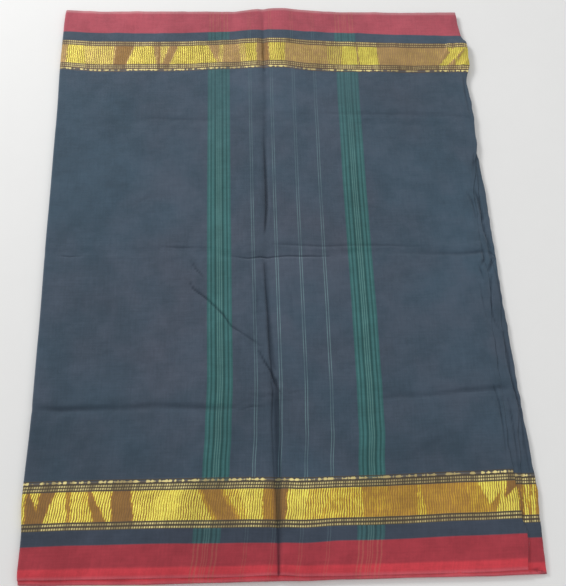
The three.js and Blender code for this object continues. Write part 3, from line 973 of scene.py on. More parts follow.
def strip_mesh(name, layers, leftmost):
    """A long strip folded to and fro, as a closed shell: flats joined by half turns at their ends.

    The strip starts at the given end of its first layer. Its middle line is a run of places along the
    cloth and heights as shares, worked out for each row, and its two faces lie half a wall to each side.
    """
    across = snapped(graded(0, CLOTH_WIDTH, STRIP_ROWS, ACROSS_SPOTS), border_marks())
    along = graded(LEFT_NOMINAL, RIGHT_NOMINAL, FLAT_COLUMNS, HIDDEN_SPOTS)
    end = right_of("third", SECOND_SLIP, 3)
    parts = []
    going_left = not leftmost
    for place, layer in enumerate(layers):
        x, y = flat_grid(along, across, end, True)
        x = x - eased_edges(layer, "right") * bell((RIGHT_NOMINAL - along) / EDGE_DRAW_REACH)[None, :]
        share = layer_share(layer) + 0 * x
        side = 1.0 if going_left else -1.0
        flat = [x, share, np.zeros_like(x), side + 0 * x, layer + 0 * x]
        parts.append([part[:, ::-1] for part in flat] if going_left else flat)
        if place + 1 < len(layers):
            parts.append(half_turn(parts[-1], layer, layers[place + 1], y, going_left))
        going_left = not going_left
    x, share, nx, nz, layer = (np.hstack(columns) for columns in zip(*parts))
    y = across_to_y(across[:, None], x, True)
    near = np.clip(1 - across / EDGE_DRAW_REACH, 0, 1)[:, None]
    far = np.clip(1 - (CLOTH_WIDTH - across) / EDGE_DRAW_REACH, 0, 1)[:, None]
    wander = ripples(x, LAYER_APART * layer, **EDGE_WAVES)
    y = y + (eased_edges(layer, "front") + wander) * near - (eased_edges(layer, "back") + wander) * far
    tall = HIDDEN_HEIGHT + lift(x, y)
    half_wall = WALL_SHARE * tall / 2
    z = np.maximum(share * tall, half_wall)
    upper = np.dstack([x + nx * half_wall, y, z + nz * half_wall])
    lower = np.dstack([x - nx * half_wall, y, z - nz * half_wall])
    threads = thread_place(x, y)
    over = across[:, None] + 0 * x
    if not leftmost:
        upper, lower, threads, over = (grid[:, ::-1] for grid in (upper, lower, threads, over))
    return shell_mesh(name, upper, lower, threads, over, 0 * over)


def eased_edges(layer, column):
    """An edge's draw-back at a layer number, eased between layers."""
    return eased(HIDDEN_EDGES, "layer", layer, column)


def half_turn(flat, layer, below, y, going_left):
    """A half circle from one layer to the one it is folded onto, in places and shares of the height."""
    angles = np.linspace(0, np.pi, ARC_STEPS + 2)[None, 1:-1]
    start_x = flat[0][:, -1:]
    tall = HIDDEN_HEIGHT + lift(start_x, y[:, :1])
    high, low = layer_share(layer), layer_share(below)
    outwards = -1.0 if going_left else 1.0
    sine, cosine = np.sin(angles), np.cos(angles)
    x = start_x + outwards * (high - low) / 2 * tall * sine
    share = (high + low) / 2 + (high - low) / 2 * cosine + 0 * x
    way = 1.0 if going_left else -1.0
    normal_x = way * outwards * sine + 0 * x
    return [x, share, normal_x, way * cosine + 0 * x, layer + (below - layer) * angles / np.pi + 0 * x]


# ---------------------------------------------------------------- shader wiring


class Wires:
    """Adds nodes to a node tree. A value that is a socket is linked, and any other value is set."""

    def __init__(self, tree):
        self.tree = tree

    def put(self, socket, value):
        """Links or sets one socket."""
        if isinstance(value, bpy.types.NodeSocket):
            self.tree.links.new(value, socket)
        else:
            socket.default_value = value

    def add(self, kind, values=(), **settings):
        """A new node, with its settings and the values of its inputs by name."""
        node = self.tree.nodes.new(kind)
        for name, value in settings.items():
            setattr(node, name, value)
        for key, value in dict(values).items():
            self.put(node.inputs[key], value)
        return node

    def math(self, operation, *values, clamp=False):
        """The result of one operation on the values."""
        node = self.add("ShaderNodeMath", operation=operation, use_clamp=clamp)
        for socket, value in zip(node.inputs, values):
            self.put(socket, value)
        return node.outputs[0]

    def ramp(self, value, low, high, to_low=0.0, to_high=1.0):
        """A value eased from one range to another."""
        values = {"Value": value, "From Min": low, "From Max": high, "To Min": to_low, "To Max": to_high}
        return self.add("ShaderNodeMapRange", values, interpolation_type="SMOOTHSTEP").outputs[0]

    def mix(self, share, first, second):
        """The second colour over the first one by a share."""
        node = self.add("ShaderNodeMix", data_type="RGBA")
        for index, value in zip((0, 6, 7), (share, first, second)):
            self.put(node.inputs[index], value)
        return node.outputs[2]

    def scale(self, value, stops):
        """A colour for a value between 0 and 1, blended evenly between stops of place and colour."""
        node = self.add("ShaderNodeValToRGB", {"Fac": value})
        points = node.color_ramp.elements
        for place, colour in stops[1:-1]:
            points.new(place)
        for point, (place, colour) in zip(points, stops):
            point.position = place
            point.color = paint(colour)
        return node.outputs["Color"]

    def noise(self, vector, scale, detail=2.0, roughness=0.5):
        """Noise between 0 and 1 at a place."""
        values = {"Vector": vector, "Scale": scale, "Detail": detail, "Roughness": roughness}
        return self.add("ShaderNodeTexNoise", values).outputs["Fac"]

    def noise_along(self, value, scale, detail=2.0, roughness=0.5):
        """Noise between 0 and 1 at a place on a line."""
        values = {"W": value, "Scale": scale, "Detail": detail, "Roughness": roughness}
        return self.add("ShaderNodeTexNoise", values, noise_dimensions="1D").outputs["Fac"]

    def streaks(self, along, across, along_scale, across_scale, detail=2.0, roughness=0.5):
        """Noise at two places, each with a scale of its own."""
        place = self.add("ShaderNodeCombineXYZ")
        self.put(place.inputs[0], self.math("MULTIPLY", along, along_scale))
        self.put(place.inputs[1], self.math("MULTIPLY", across, across_scale))
        return self.noise(place.outputs[0], scale=1.0, detail=detail, roughness=roughness)

    def group(self, tree, **values):
        """The outputs of a node group, given its inputs by name in small letters."""
        node = self.add("ShaderNodeGroup", node_tree=tree)
        for name, value in values.items():
            self.put(node.inputs[name.replace("_", " ").capitalize()], value)
        return node.outputs

    def total(self, values):
        """The sum of the values."""
        values = list(values)
        result = values[0]
        for value in values[1:]:
            result = self.math("ADD", result, value)
        return result


def new_group(name, inputs, outputs):
    """An empty node group with float inputs and outputs of these names, and its wiring."""
    tree = bpy.data.node_groups.new(name, "ShaderNodeTree")
    for title, value in inputs.items():
        kind = "NodeSocketVector" if value is None else "NodeSocketFloat"
        socket = tree.interface.new_socket(title, in_out="INPUT", socket_type=kind)
        if value is not None:
            socket.default_value = value
    for title in outputs:
        tree.interface.new_socket(title, in_out="OUTPUT", socket_type="NodeSocketFloat")
    wires = Wires(tree)
    return wires, wires.add("NodeGroupInput").outputs, wires.add("NodeGroupOutput").inputs


def built_once(name, build):
    """The node group of this name, built the first time that it is asked for."""
    return bpy.data.node_groups.get(name) or build(name)


def woven_line(name):
    """A line of thread: 1 where the place is within half a width of the middle, with soft sides."""
    wires, given, made = new_group(name, {"Place": 0.0, "Middle": 0.0, "Half": 1.0, "Soft": 0.3}, ["Mask"])
    off = wires.math("ABSOLUTE", wires.math("SUBTRACT", given["Place"], given["Middle"]))
    outer = wires.math("ADD", given["Half"], given["Soft"])
    inner = wires.math("SUBTRACT", given["Half"], given["Soft"])
    wires.put(made["Mask"], wires.ramp(off, outer, inner))
    return wires.tree


def line(wires, place, middle, half, soft=0.35):
    """The mask of one line of thread, with the sizes in mm."""
    tree = built_once("woven line", woven_line)
    return wires.group(tree, place=place, middle=middle, half=half, soft=soft)["Mask"]


def green_band(name):
    """A band of green threads: where it covers the ground, and lighter and darker lines within it."""
    wires, given, made = new_group(name, {"Place": 0.0, "Middle": 0.0}, ["Cover", "Shade"])
    off = wires.math("SUBTRACT", given["Place"], given["Middle"])
    mirrored = wires.math("ABSOLUTE", off)
    wires.put(made["Cover"], line(wires, off, 0.0, GREEN_BAND_HALF, 0.8))
    parts = []
    for at, half, shade in zip(*GREEN_THREADS.values()):
        parts.append(wires.math("MULTIPLY", line(wires, mirrored, at, half, 0.45), shade))
    wires.put(made["Shade"], wires.total(parts))
    return wires.tree


def green_bands(wires, along):
    """The outputs of both green bands at a place along the cloth."""
    tree = built_once("green band", green_band)
    return [wires.group(tree, place=along, middle=middle) for middle in GREEN_BANDS]


def pale_pairs(name):
    """Pairs of single pale threads between the green bands."""
    wires, given, made = new_group(name, {"Place": 0.0}, ["Mask"])
    masks = []
    for middle in PALE_PAIRS:
        off = wires.math("ABSOLUTE", wires.math("SUBTRACT", given["Place"], middle))
        masks.append(line(wires, off, PALE_PAIR_APART, 0.5, 0.45))
    wires.put(made["Mask"], wires.total(masks))
    return wires.tree


def cotton_weave(name):
    """Plain weave: two crossed waves of the thread pitch, with slubs and uneven dye along the threads."""
    inputs = {"Along": 0.0, "Across": 0.0, "Pitch": 0.55}
    wires, given, made = new_group(name, inputs, ["Height", "Fleck", "Streak"])
    turn = wires.math("DIVIDE", 2 * np.pi, given["Pitch"])
    over = wires.math("SINE", wires.math("MULTIPLY", given["Along"], turn))
    under = wires.math("SINE", wires.math("MULTIPLY", given["Across"], turn))
    wires.put(made["Height"], wires.math("MULTIPLY", over, under))
    threads = (given["Along"], given["Across"])
    fleck = wires.total([wires.streaks(*threads, 0.35, 1.4), wires.streaks(*threads, 1.4, 0.35)])
    wires.put(made["Fleck"], wires.ramp(fleck, 0.6, 1.4, -1.0, 1.0))
    lengthways = wires.streaks(*threads, 0.02, 0.35, detail=3.0)
    crosswise = wires.streaks(*threads, 0.35, 0.025, detail=3.0)
    streak = wires.total([lengthways, crosswise])
    wires.put(made["Streak"], wires.ramp(streak, 0.65, 1.35, -1.0, 1.0))
    return wires.tree


def tone_and_light_spots(name):
    """Sums over the broad spots of how much lighter and warmer they are, each fading from its middle.

    A spot's strength is 1 less the squared distance over its reach, squared and never below 0.
    """
    wires, given, made = new_group(name, {"Place": None}, ["Lighter", "Warmer"])
    parts = wires.add("ShaderNodeSeparateXYZ", {"Vector": given["Place"]}).outputs
    sums = {"Lighter": [], "Warmer": []}
    for x, y, reach_x, reach_y, light, warm in zip(*TONE_AND_LIGHT_SPOTS.values()):
        off_x = wires.math("MULTIPLY_ADD", parts[0], 1 / (reach_x * MM), -x / reach_x)
        off_y = wires.math("MULTIPLY_ADD", parts[1], 1 / (reach_y * MM), -y / reach_y)
        far = wires.math("MULTIPLY_ADD", off_x, off_x, wires.math("MULTIPLY", off_y, off_y))
        near = wires.math("SUBTRACT", 1.0, far, clamp=True)
        near = wires.math("MULTIPLY", near, near)
        sums["Lighter"].append(wires.math("MULTIPLY", near, light))
        sums["Warmer"].append(wires.math("MULTIPLY", near, warm))
    for title, values in sums.items():
        wires.put(made[title], wires.total(values))
    return wires.tree


def dye_cloud(name):
    """Broad uneven patches of the dye, and smaller ones within them."""
    wires, given, made = new_group(name, {"Place": None}, ["Cloud"])
    broad = wires.noise(given["Place"], scale=4.5, detail=3.0, roughness=0.55)
    small = wires.noise(given["Place"], scale=26.0, detail=4.0, roughness=0.72)
    both = wires.math("ADD", wires.math("MULTIPLY", broad, 0.5), wires.math("MULTIPLY", small, 0.5))
    wires.put(made["Cloud"], wires.ramp(both, 0.32, 0.68, -1.0, 1.0))
    return wires.tree


def border_lines(name):
    """Lines beside the broad gold band: four dotted ones, and a chain of scallops over a thin base line.

    A scallop is half of a sine wave of the chain's pitch, which widens the line and moves it towards the
    field, and noise along the line leaves some of them out.
    """
    wires, given, made = new_group(name, {"Along": 0.0, "Distance": 0.0}, ["Dotted", "Chain", "Base"])
    dots = wires.math("SINE", wires.math("MULTIPLY", given["Along"], 2 * np.pi / DOT_PITCH))
    worn = wires.noise_along(given["Along"], scale=0.13, detail=2.0)
    worn = wires.ramp(worn, 0.3, 0.6, 0.5, 1.0)
    rows = wires.total(line(wires, given["Distance"], at, DOT_HALF, DOT_HALF / 2) for at in DOTTED_LINES)
    dots = wires.ramp(dots, -0.6, 0.5, 0.12, 1.0)
    wires.put(made["Dotted"], wires.math("MULTIPLY", rows, wires.math("MULTIPLY", dots, worn)))
    present = wires.noise_along(given["Along"], scale=0.055, detail=2.5, roughness=0.65)
    present = wires.ramp(present, 0.42, 0.5)
    shaken = wires.noise_along(given["Along"], scale=0.09, detail=1.0)
    shaken = wires.math("MULTIPLY", shaken, CHAIN_SHAKE)
    turns = wires.math("DIVIDE", wires.math("ADD", given["Along"], shaken), CHAIN_PITCH)
    bump = wires.math("ABSOLUTE", wires.math("SINE", wires.math("MULTIPLY", turns, np.pi)))
    width = wires.math("MULTIPLY_ADD", wires.math("MULTIPLY", bump, present), 1.7, 0.35)
    middle = wires.math("MULTIPLY_ADD", bump, 0.7, CHAIN_LINE - 0.5)
    scallop = line(wires, given["Distance"], middle, width, 0.5)
    wires.put(made["Chain"], wires.math("MULTIPLY", scallop, present))
    wires.put(made["Base"], line(wires, given["Distance"], CHAIN_LINE, 1.2, 0.5))
    return wires.tree


def gold_ribs(name):
    """Ribs across the gold band: a wave of the rib pitch whose places are slightly shaken."""
    wires, given, made = new_group(name, {"Along": 0.0, "Distance": 0.0, "Pitch": 4.0}, ["Wave", "Streak"])
    places = (given["Along"], given["Distance"])
    shaken = wires.math("MULTIPLY", wires.streaks(*places, 0.05, 0.06), RIB_SHAKE)
    turns = wires.math("DIVIDE", wires.math("ADD", given["Along"], shaken), given["Pitch"])
    wires.put(made["Wave"], wires.math("COSINE", wires.math("MULTIPLY", turns, 2 * np.pi)))
    fine = wires.streaks(*places, 0.33, 0.05)
    coarse = wires.streaks(*places, 0.07, 0.1, detail=3.0)
    streak = wires.total([fine, coarse])
    wires.put(made["Streak"], wires.ramp(streak, 0.7, 1.3, -1.0, 1.0))
    return wires.tree


def foil_patch(name):
    """One patch of painted highlight on the foil, laid over what is there: its brightness where the place
    lies between its ends.

    Each end runs straight from its place on the outer edge of the band to that on the inner edge.
    """
    ends = ("Left out", "Right out", "Left in", "Right in")
    inputs = {"Foil": 0.0, "Along": 0.0, "Inwards": 0.0, **dict.fromkeys(ends, 0.0), "Bright": 0.0}
    wires, given, made = new_group(name, inputs, ["Foil"])
    cover = []
    for outer, inner, side in (("Left out", "Left in", 1.0), ("Right out", "Right in", -1.0)):
        slant = wires.math("SUBTRACT", given[inner], given[outer])
        end = wires.math("MULTIPLY_ADD", slant, given["Inwards"], given[outer])
        inside = wires.math("SUBTRACT", given["Along"], end)
        cover.append(wires.math("MULTIPLY_ADD", inside, side * PATCH_EDGE, 0.5, clamp=True))
    step = wires.math("SUBTRACT", given["Bright"], given["Foil"])
    cover = wires.math("MULTIPLY", *cover)
    wires.put(made["Foil"], wires.math("MULTIPLY_ADD", step, cover, given["Foil"]))
    return wires.tree


def foil_light(name):
    """How brightly the gold's highlight is painted at a place: the patches of one border, laid one after
    another.

    The place is shaken a little, so that the patches' ends are ragged.
    """
    side = "front" if "front" in name else "back"
    rows = {"front": FRONT_FOIL, "back": BACK_FOIL}[side]
    outer, inner = GOLD_EDGES[side]
    wires, given, made = new_group(name, {"Along": 0.0, "Distance": 0.0}, ["Foil"])
    inwards = wires.math("SUBTRACT", given["Distance"], GOLD_START)
    inwards = wires.math("DIVIDE", inwards, GOLD_END - GOLD_START, clamp=True)
    ragged = wires.streaks(given["Along"], given["Distance"], 0.12, 0.16, detail=3.0, roughness=0.6)
    shaken = wires.math("SUBTRACT", ragged, 0.5)
    along = wires.math("MULTIPLY_ADD", shaken, PATCH_SHAKE, given["Along"])
    foil = 0.0
    for left_out, right_out, left_in, right_in, bright in zip(*rows.values()):
        ends = {
            "left_out": left_out - float(drift(left_out, outer)),
            "right_out": right_out - float(drift(right_out, outer)),
            "left_in": left_in - float(drift(left_in, inner)),
            "right_in": right_in - float(drift(right_in, inner)),
        }
        patch = built_once("foil patch", foil_patch)
        foil = wires.group(patch, foil=foil, along=along, inwards=inwards, **ends, bright=bright)["Foil"]
    wires.put(made["Foil"], foil)
    return wires.tree


def thread_places(wires):
    """Places along and across the cloth in mm, and the distance from the nearer selvedge."""
    threads = wires.add("ShaderNodeUVMap", uv_map="threads").outputs[0]
    parts = wires.add("ShaderNodeSeparateXYZ", {"Vector": threads}).outputs
    along = wires.math("MULTIPLY", parts[0], 1 / MM)
    across = wires.math("MULTIPLY", parts[1], 1 / MM)
    return along, across, wires.math("MINIMUM", across, wires.math("SUBTRACT", CLOTH_WIDTH, across))


def paint(colour):
    """A colour of three parts with an alpha of 1."""
    return (*colour, 1.0)


def lighter(wires, colour, share):
    """A colour made lighter by a share of itself, or darker by a negative one."""
    node = wires.add("ShaderNodeVectorMath", operation="SCALE")
    wires.put(node.inputs[0], colour if isinstance(colour, bpy.types.NodeSocket) else colour[:3])
    wires.put(node.inputs["Scale"], wires.math("ADD", share, 1.0))
    return node.outputs[0]


def new_material(name):
    """A material with one Principled surface, and its wiring."""
    material = bpy.data.materials.new(name)
    material.use_nodes = True
    material.node_tree.nodes.clear()
    wires = Wires(material.node_tree)
    surface = wires.add("ShaderNodeBsdfPrincipled")
    wires.add("ShaderNodeOutputMaterial", {"Surface": surface.outputs[0]})
    return material, wires, surface


def striped_ground(wires, look, along, strength):
    """A navy ground, warmer in patches, with the green bands and pale pairs woven over it by a strength."""
    place = wires.add("ShaderNodeTexCoord").outputs["Object"]
    spots = wires.group(built_once("dye spots", tone_and_light_spots), place=place)
    patchy = wires.noise(place, scale=13.0, detail=3.0, roughness=0.6)
    patchy = wires.ramp(patchy, 0.3, 0.7, -WARMTH_CHANCE, WARMTH_CHANCE)
    warmth = wires.total([spots["Warmer"], patchy, WARMTH])
    warmth = wires.math("MAXIMUM", wires.math("MINIMUM", warmth, 1.0), 0.0)
    colour = wires.mix(warmth, paint(look.navy), paint(look.navy_warm))
    # The spots paint the ground lighter at the back and darker in front, besides its uneven tone.
    colour = lighter(wires, colour, spots["Lighter"])
    back = wires.add("ShaderNodeSeparateXYZ", {"Vector": place}).outputs[1]
    strong = wires.ramp(back, *GREEN_FADE, 1.0, 0.68)
    back_blend = wires.math("MULTIPLY_ADD", strong, -0.25, 0.25)
    for band in green_bands(wires, along):
        shade = wires.math("MULTIPLY_ADD", band["Shade"], strong, back_blend)
        green = wires.mix(wires.ramp(shade, -0.7, 0.5), paint(look.green_dark), paint(look.green_light))
        green = wires.mix(wires.ramp(shade, 0.62, 0.9, 0.0, 0.5), green, paint(look.green_pale))
        cover = wires.math("MULTIPLY", band["Cover"], wires.math("MULTIPLY", strong, strength))
        colour = wires.mix(cover, colour, green)
    pale = wires.group(built_once("pale pairs", pale_pairs), place=along)["Mask"]
    worn = wires.ramp(wires.noise(place, scale=14.0), 0.35, 0.6, 0.35, 0.7)
    worn = wires.math("MULTIPLY", worn, wires.ramp(back, *PALE_FADE, 1.0, 0.4))
    pale = wires.math("MULTIPLY", pale, wires.math("MULTIPLY", worn, strength))
    return wires.mix(pale, colour, paint(look.pale))


def finish_weave(wires, surface, look, colour, heights):
    """Uneven dye and painted shade in creases over a colour, and the weave with further heights as a bump.
    """
    along, across, _ = thread_places(wires)
    tree = built_once("cotton weave", cotton_weave)
    weave = wires.group(tree, along=along, across=across, pitch=look.pitch)
    place = wires.add("ShaderNodeTexCoord").outputs["Object"]
    cloud = wires.group(built_once("dye cloud", dye_cloud), place=place)["Cloud"]
    uneven = wires.total(
        [
            wires.math("MULTIPLY", cloud, look.unevenness),
            wires.math("MULTIPLY", weave["Fleck"], look.fleck),
            wires.math("MULTIPLY", weave["Streak"], look.streak),
        ]
    )
    # Painted shade: the colour is darkened in deep creases, with a slight tint.
    hollow = wires.add("ShaderNodeAttribute", attribute_name="hollow").outputs["Fac"]
    kept = paint([1 - look.shade * part for part in SHADE_TINT])
    shade = wires.add("ShaderNodeVectorMath", operation="MULTIPLY")
    wires.put(shade.inputs[0], lighter(wires, colour, uneven))
    wires.put(shade.inputs[1], wires.mix(hollow, paint((1.0, 1.0, 1.0)), kept))
    wires.put(surface.inputs["Base Color"], shade.outputs[0])
    woven = wires.math("MULTIPLY", weave["Height"], WEAVE_HEIGHT)
    slubs = wires.math("MULTIPLY", weave["Fleck"], WEAVE_HEIGHT)
    rumpled = wires.noise(place, scale=38.0, detail=3.0, roughness=0.55)
    rumpled = wires.math("MULTIPLY", rumpled, look.rumple / MM)
    height = wires.total([woven, slubs, rumpled, *heights])
    bump = wires.add("ShaderNodeBump", {"Height": height, "Strength": 1.0, "Distance": MM})
    wires.put(surface.inputs["Normal"], bump.outputs[0])


def cotton_material():
    """Navy cotton with green stripes, and the red borders along the selvedges."""
    known = bpy.data.materials.get("striped_cotton")
    if known:
        return known
    look = bpy.context.scene.saree_cloth
    material, wires, surface = new_material("striped_cotton")
    along, across, distance = thread_places(wires)
    field = striped_ground(wires, look, along, 1.0)
    far = wires.math("GREATER_THAN", across, CLOTH_WIDTH / 2)
    middle, half = (RED_WIDTH + BORDER_START) / 2, (BORDER_START - RED_WIDTH) / 2
    edge = line(wires, distance, middle, half, 1.5)
    edge = wires.math("MULTIPLY", edge, wires.math("MULTIPLY_ADD", far, -EDGE_SHARE, EDGE_SHARE))
    bands = green_bands(wires, along)
    green = wires.total(band["Cover"] for band in bands)
    edge = wires.math("MULTIPLY", edge, wires.math("MULTIPLY_ADD", green, -GREEN_SPARED, 1.0))
    field = wires.mix(edge, field, paint(look.navy_edge))
    bright = line(wires, distance, 0.0, BRIGHT_STRIP, 2.5)
    red = wires.mix(bright, paint(look.red), paint(look.red_bright))
    pink = wires.math("MULTIPLY", line(wires, distance, 0.0, PINK_RIM, 3.0), PINK_SHARE)
    red = wires.mix(pink, red, paint(look.pink))
    # At the back the red is painted lighter and pinker, as a haze of light, and palest at the rim.
    rim = line(wires, distance, 0.0, BACK_RIM, 2.0)
    back_blend = wires.mix(rim, paint(look.red_painted_haze), paint(look.red_rim_painted_haze))
    red = wires.mix(far, red, back_blend)
    tans = [wires.math("MULTIPLY", wires.ramp(band["Shade"], 0.1, 0.5), band["Cover"]) for band in bands]
    tans.append(wires.group(built_once("pale pairs", pale_pairs), place=along)["Mask"])
    tan = wires.math("MULTIPLY", wires.total(tans), TAN_SHARE, clamp=True)
    red = wires.mix(tan, red, paint(look.tan))
    colour = wires.mix(line(wires, distance, 0.0, RED_WIDTH, 1.2), field, red)
    finish_weave(wires, surface, look, colour, [])
    surface.inputs["Roughness"].default_value = 0.82
    surface.inputs["Specular IOR Level"].default_value = 0.25
    surface.inputs["Sheen Weight"].default_value = 0.35
    surface.inputs["Sheen Roughness"].default_value = 0.45
    surface.inputs["Sheen Tint"].default_value = (0.85, 0.9, 1.0, 1.0)
    return material


def zari_material():
    """The woven gold border: navy ground, dark threads, dotted and chained gold lines, and ribbed foil with
    painted highlights.
    """
    known = bpy.data.materials.get("zari_border")
    if known:
        return known
    look = bpy.context.scene.saree_cloth
    material, wires, surface = new_material("zari_border")
    along, across, distance = thread_places(wires)
    places = {"along": along, "distance": distance}
    front, back = (
        wires.group(built_once(f"foil light, {side}", foil_light), **places)["Foil"]
        for side in ("front", "back")
    )
    far = wires.math("GREATER_THAN", across, CLOTH_WIDTH / 2)
    foil = wires.math("MULTIPLY_ADD", wires.math("SUBTRACT", back, front), far, front)
    ribs = wires.group(built_once("gold ribs", gold_ribs), **places, pitch=look.rib_pitch)
    # Painted highlights on the ribs: the light painted on the foil rises and falls with the rib wave.
    depth = wires.ramp(foil, 0.5, 0.95, 0.13, 0.75)
    lit = wires.math("MULTIPLY_ADD", ribs["Wave"], depth, foil)
    lit = wires.math("MULTIPLY_ADD", ribs["Streak"], wires.ramp(foil, 0.4, 0.85, 0.05, 0.2), lit)
    # Colours from painted dull gold up to a painted glint, by how much light is painted on the foil.
    stops = (
        (0.0, look.gold_dull),
        (0.29, look.gold_brown),
        (0.43, look.gold_deep),
        (0.6, look.gold),
        (0.7, look.gold_white),
        (1.0, look.gold_glint),
    )
    foil_colour = wires.scale(wires.math("DIVIDE", lit, BRIGHTEST), stops)
    # At the back the foil is painted darker, and its matt parts take a painted haze of pale light.
    matt = wires.ramp(foil, 0.25, 0.45, 0.05, 0.4)
    haze = wires.math("SUBTRACT", matt, wires.ramp(foil, 0.6, 0.95, 0.0, 0.34))
    foil_colour = lighter(wires, foil_colour, wires.math("MULTIPLY", far, -BACK_DIMMING))
    foil_colour = wires.mix(wires.math("MULTIPLY", far, haze), foil_colour, paint(look.foil_haze))
    ground = striped_ground(wires, look, along, 0.9)
    dark = wires.total(line(wires, distance, at, half, 0.5) for at, half in zip(*DARK_THREADS.values()))
    # The dark threads at the back are painted lighter, as if more light fell on them.
    brown = wires.mix(far, paint(look.border_dark), paint(look.border_dark_painted_lit))
    ground = wires.mix(wires.math("MULTIPLY", dark, DARK_SHARE, clamp=True), ground, brown)
    middle = (GOLD_START + GOLD_END) / 2
    band = line(wires, distance, middle, (GOLD_END - GOLD_START) / 2, 0.5)
    colour = wires.mix(band, ground, foil_colour)
    lines = wires.group(built_once("border lines", border_lines), **places)
    # The dots and scallops take a painted glint where the foil is painted bright.
    lively = wires.ramp(foil, 0.4, 1.0, 0.32, 1.0)
    glint = wires.mix(lively, paint(look.pale_dim), paint(look.gold_pale))
    colour = wires.mix(wires.math("MULTIPLY", lines["Dotted"], 1.0, clamp=True), colour, glint)
    colour = wires.mix(wires.math("MULTIPLY", lines["Base"], BASE_SHARE), colour, paint(look.pale_dim))
    colour = wires.mix(lines["Chain"], colour, glint)
    shine = wires.math("MULTIPLY", band, wires.ramp(lit, 0.0, 0.9, 0.15, 0.5))
    wires.put(surface.inputs["Metallic"], shine)
    wires.put(surface.inputs["Roughness"], wires.ramp(lit, 0.0, 1.0, 0.6, 0.42))
    rib_height = wires.math("MULTIPLY", wires.math("MULTIPLY", ribs["Wave"], band), RIB_HEIGHT)
    finish_weave(wires, surface, look, colour, [rib_height])
    surface.inputs["Specular IOR Level"].default_value = 0.3
    return material


# ---------------------------------------------------------------- settings


def srgb(code):
    """Linear light from a six-digit colour code: ((c + 0.055) / 1.055) to the power 2.4."""
    parts = np.array([int(code[i : i + 2], 16) for i in (0, 2, 4)]) / 255
    return tuple(np.where(parts > 0.04045, ((parts + 0.055) / 1.055) ** 2.4, parts / 12.92).tolist())


def colour_setting(title, text, code):
    """A colour setting whose default is a six-digit colour code."""
    limits = dict(subtype="COLOR", size=3, min=0, max=1)
    return FloatVectorProperty(name=title, description=text, default=srgb(code), **limits)


def share_setting(title, text, default, most):
    """A setting without a unit, from 0 to its most."""
    return FloatProperty(name=title, description=text, default=default, min=0, max=most)


class SareeCloth(PropertyGroup):
    """Colours and sizes of the cloth."""

    navy: colour_setting("Navy", "Ground of the field", "3f5363")
    navy_warm: colour_setting("Warm navy", "Where the dye is a little redder", "4d5361")
    green_light: colour_setting("Green, light", "Light threads of the green bands", "427475")
    green_pale: colour_setting("Pale green", "Thin threads in the middle of a green band", "789a90")
    green_dark: colour_setting("Green, dark", "Dark threads of the green bands", "234b4b")
    pale: colour_setting("Pale thread", "Single threads between the green bands", "7b9ca0")
    red: colour_setting("Red", "The border along each selvedge", "ae3c47")
    red_bright: colour_setting("Bright red", "The strip next to the selvedge", "d6434e")
    # The back border painted with a haze of light: lighter, and palest at the rim.
    red_rim_painted_haze: colour_setting("Rim", "The outermost threads at the back", "bf797f")
    red_painted_haze: colour_setting("Faded red", "The border at the back", "b2505d")
    tan: colour_setting("Tan", "Where a stripe crosses the red border", "b87460")
    # The foil's colours, from a painted glint down to dull gold: the light that the foil catches is painted
    # into them.
    gold_glint: colour_setting("Gold glint", "Of the foil, on the ribs that catch most light", "fff26e")
    gold_white: colour_setting("Gold, brightest", "Foil that mirrors the light", "faee68")
    gold: colour_setting("Gold", "Foil that faces the light", "eed74c")
    gold_deep: colour_setting("Deep gold", "Foil between light and dull", "cea43e")
    gold_brown: colour_setting("Brown gold", "Foil that is nearly dull", "ac803e")
    gold_dull: colour_setting("Dull gold", "Foil that is turned away", "8c683f")
    # Painted glint of the dots and scallops, lit and turned away.
    gold_pale: colour_setting("Pale gold", "Bright dots and scallops", "fbe99c")
    pale_dim: colour_setting("Dim gold", "Dots and scallops that are turned away", "8b7656")
    border_dark: colour_setting("Dark threads", "Between the gold lines, in front", "524430")
    # The same dark threads, painted lighter at the back where more light falls.
    border_dark_painted_lit: colour_setting("Brown threads", "Between the gold lines, at the back", "6c5238")
    # Painted haze of light on the matt gold.
    foil_haze: colour_setting("Foil haze", "Pale light on the matt gold at the back", "bea582")
    navy_edge: colour_setting("Navy edge", "Ground between the gold and the red, in front", "3e4553")
    pink: colour_setting("Pink rim", "The outermost threads in front", "cc7682")
    pitch: FloatProperty(name="Thread pitch", description="In mm", default=0.55, min=0.2, max=2)
    rib_pitch: FloatProperty(name="Rib pitch", description="Of the gold ribs, in mm", default=3.75, min=1)
    unevenness: share_setting("Uneven dye", "How much lighter or darker the dye's patches are", 0.17, 0.3)
    fleck: share_setting("Fleck", "How much lighter or darker short slubs are", 0.045, 0.3)
    streak: share_setting("Streak", "How much lighter or darker long threads are", 0.065, 0.3)
    # Painted shade in the creases.
    shade: share_setting("Crease shade", "Light lost in the deepest creases", 0.55, 0.9)
    rumple: FloatProperty(
        name="Rumple",
        description="Height of the soft unpressed waves",
        default=0.0009,
        min=0,
        unit="LENGTH",
    )
    wall: FloatProperty(
        name="Wall",
        description="Thickness of one layer of cloth",
        default=0.0006,
        min=0.0002,
        max=0.0012,
        precision=4,
        unit="LENGTH",
    )
    crease: share_setting("Creases", "Strength of the sharp creases", 1.0, 2)


class SareeStudio(PropertyGroup):
    """The floor, the lights and the camera."""

    floor: colour_setting("Floor", "Colour of the floor", "f4f4f3")
    sky: share_setting("Sky", "Strength of the even light", 0.5, 5)
    key: FloatProperty(name="Key", description="Power of the large light", default=62, min=0, unit="POWER")
    fill: FloatProperty(name="Fill", description="Power of the side light", default=8, min=0, unit="POWER")
    lens: FloatProperty(name="Lens", description="Focal length", default=55.29, min=10, unit="CAMERA")


# ---------------------------------------------------------------- operators


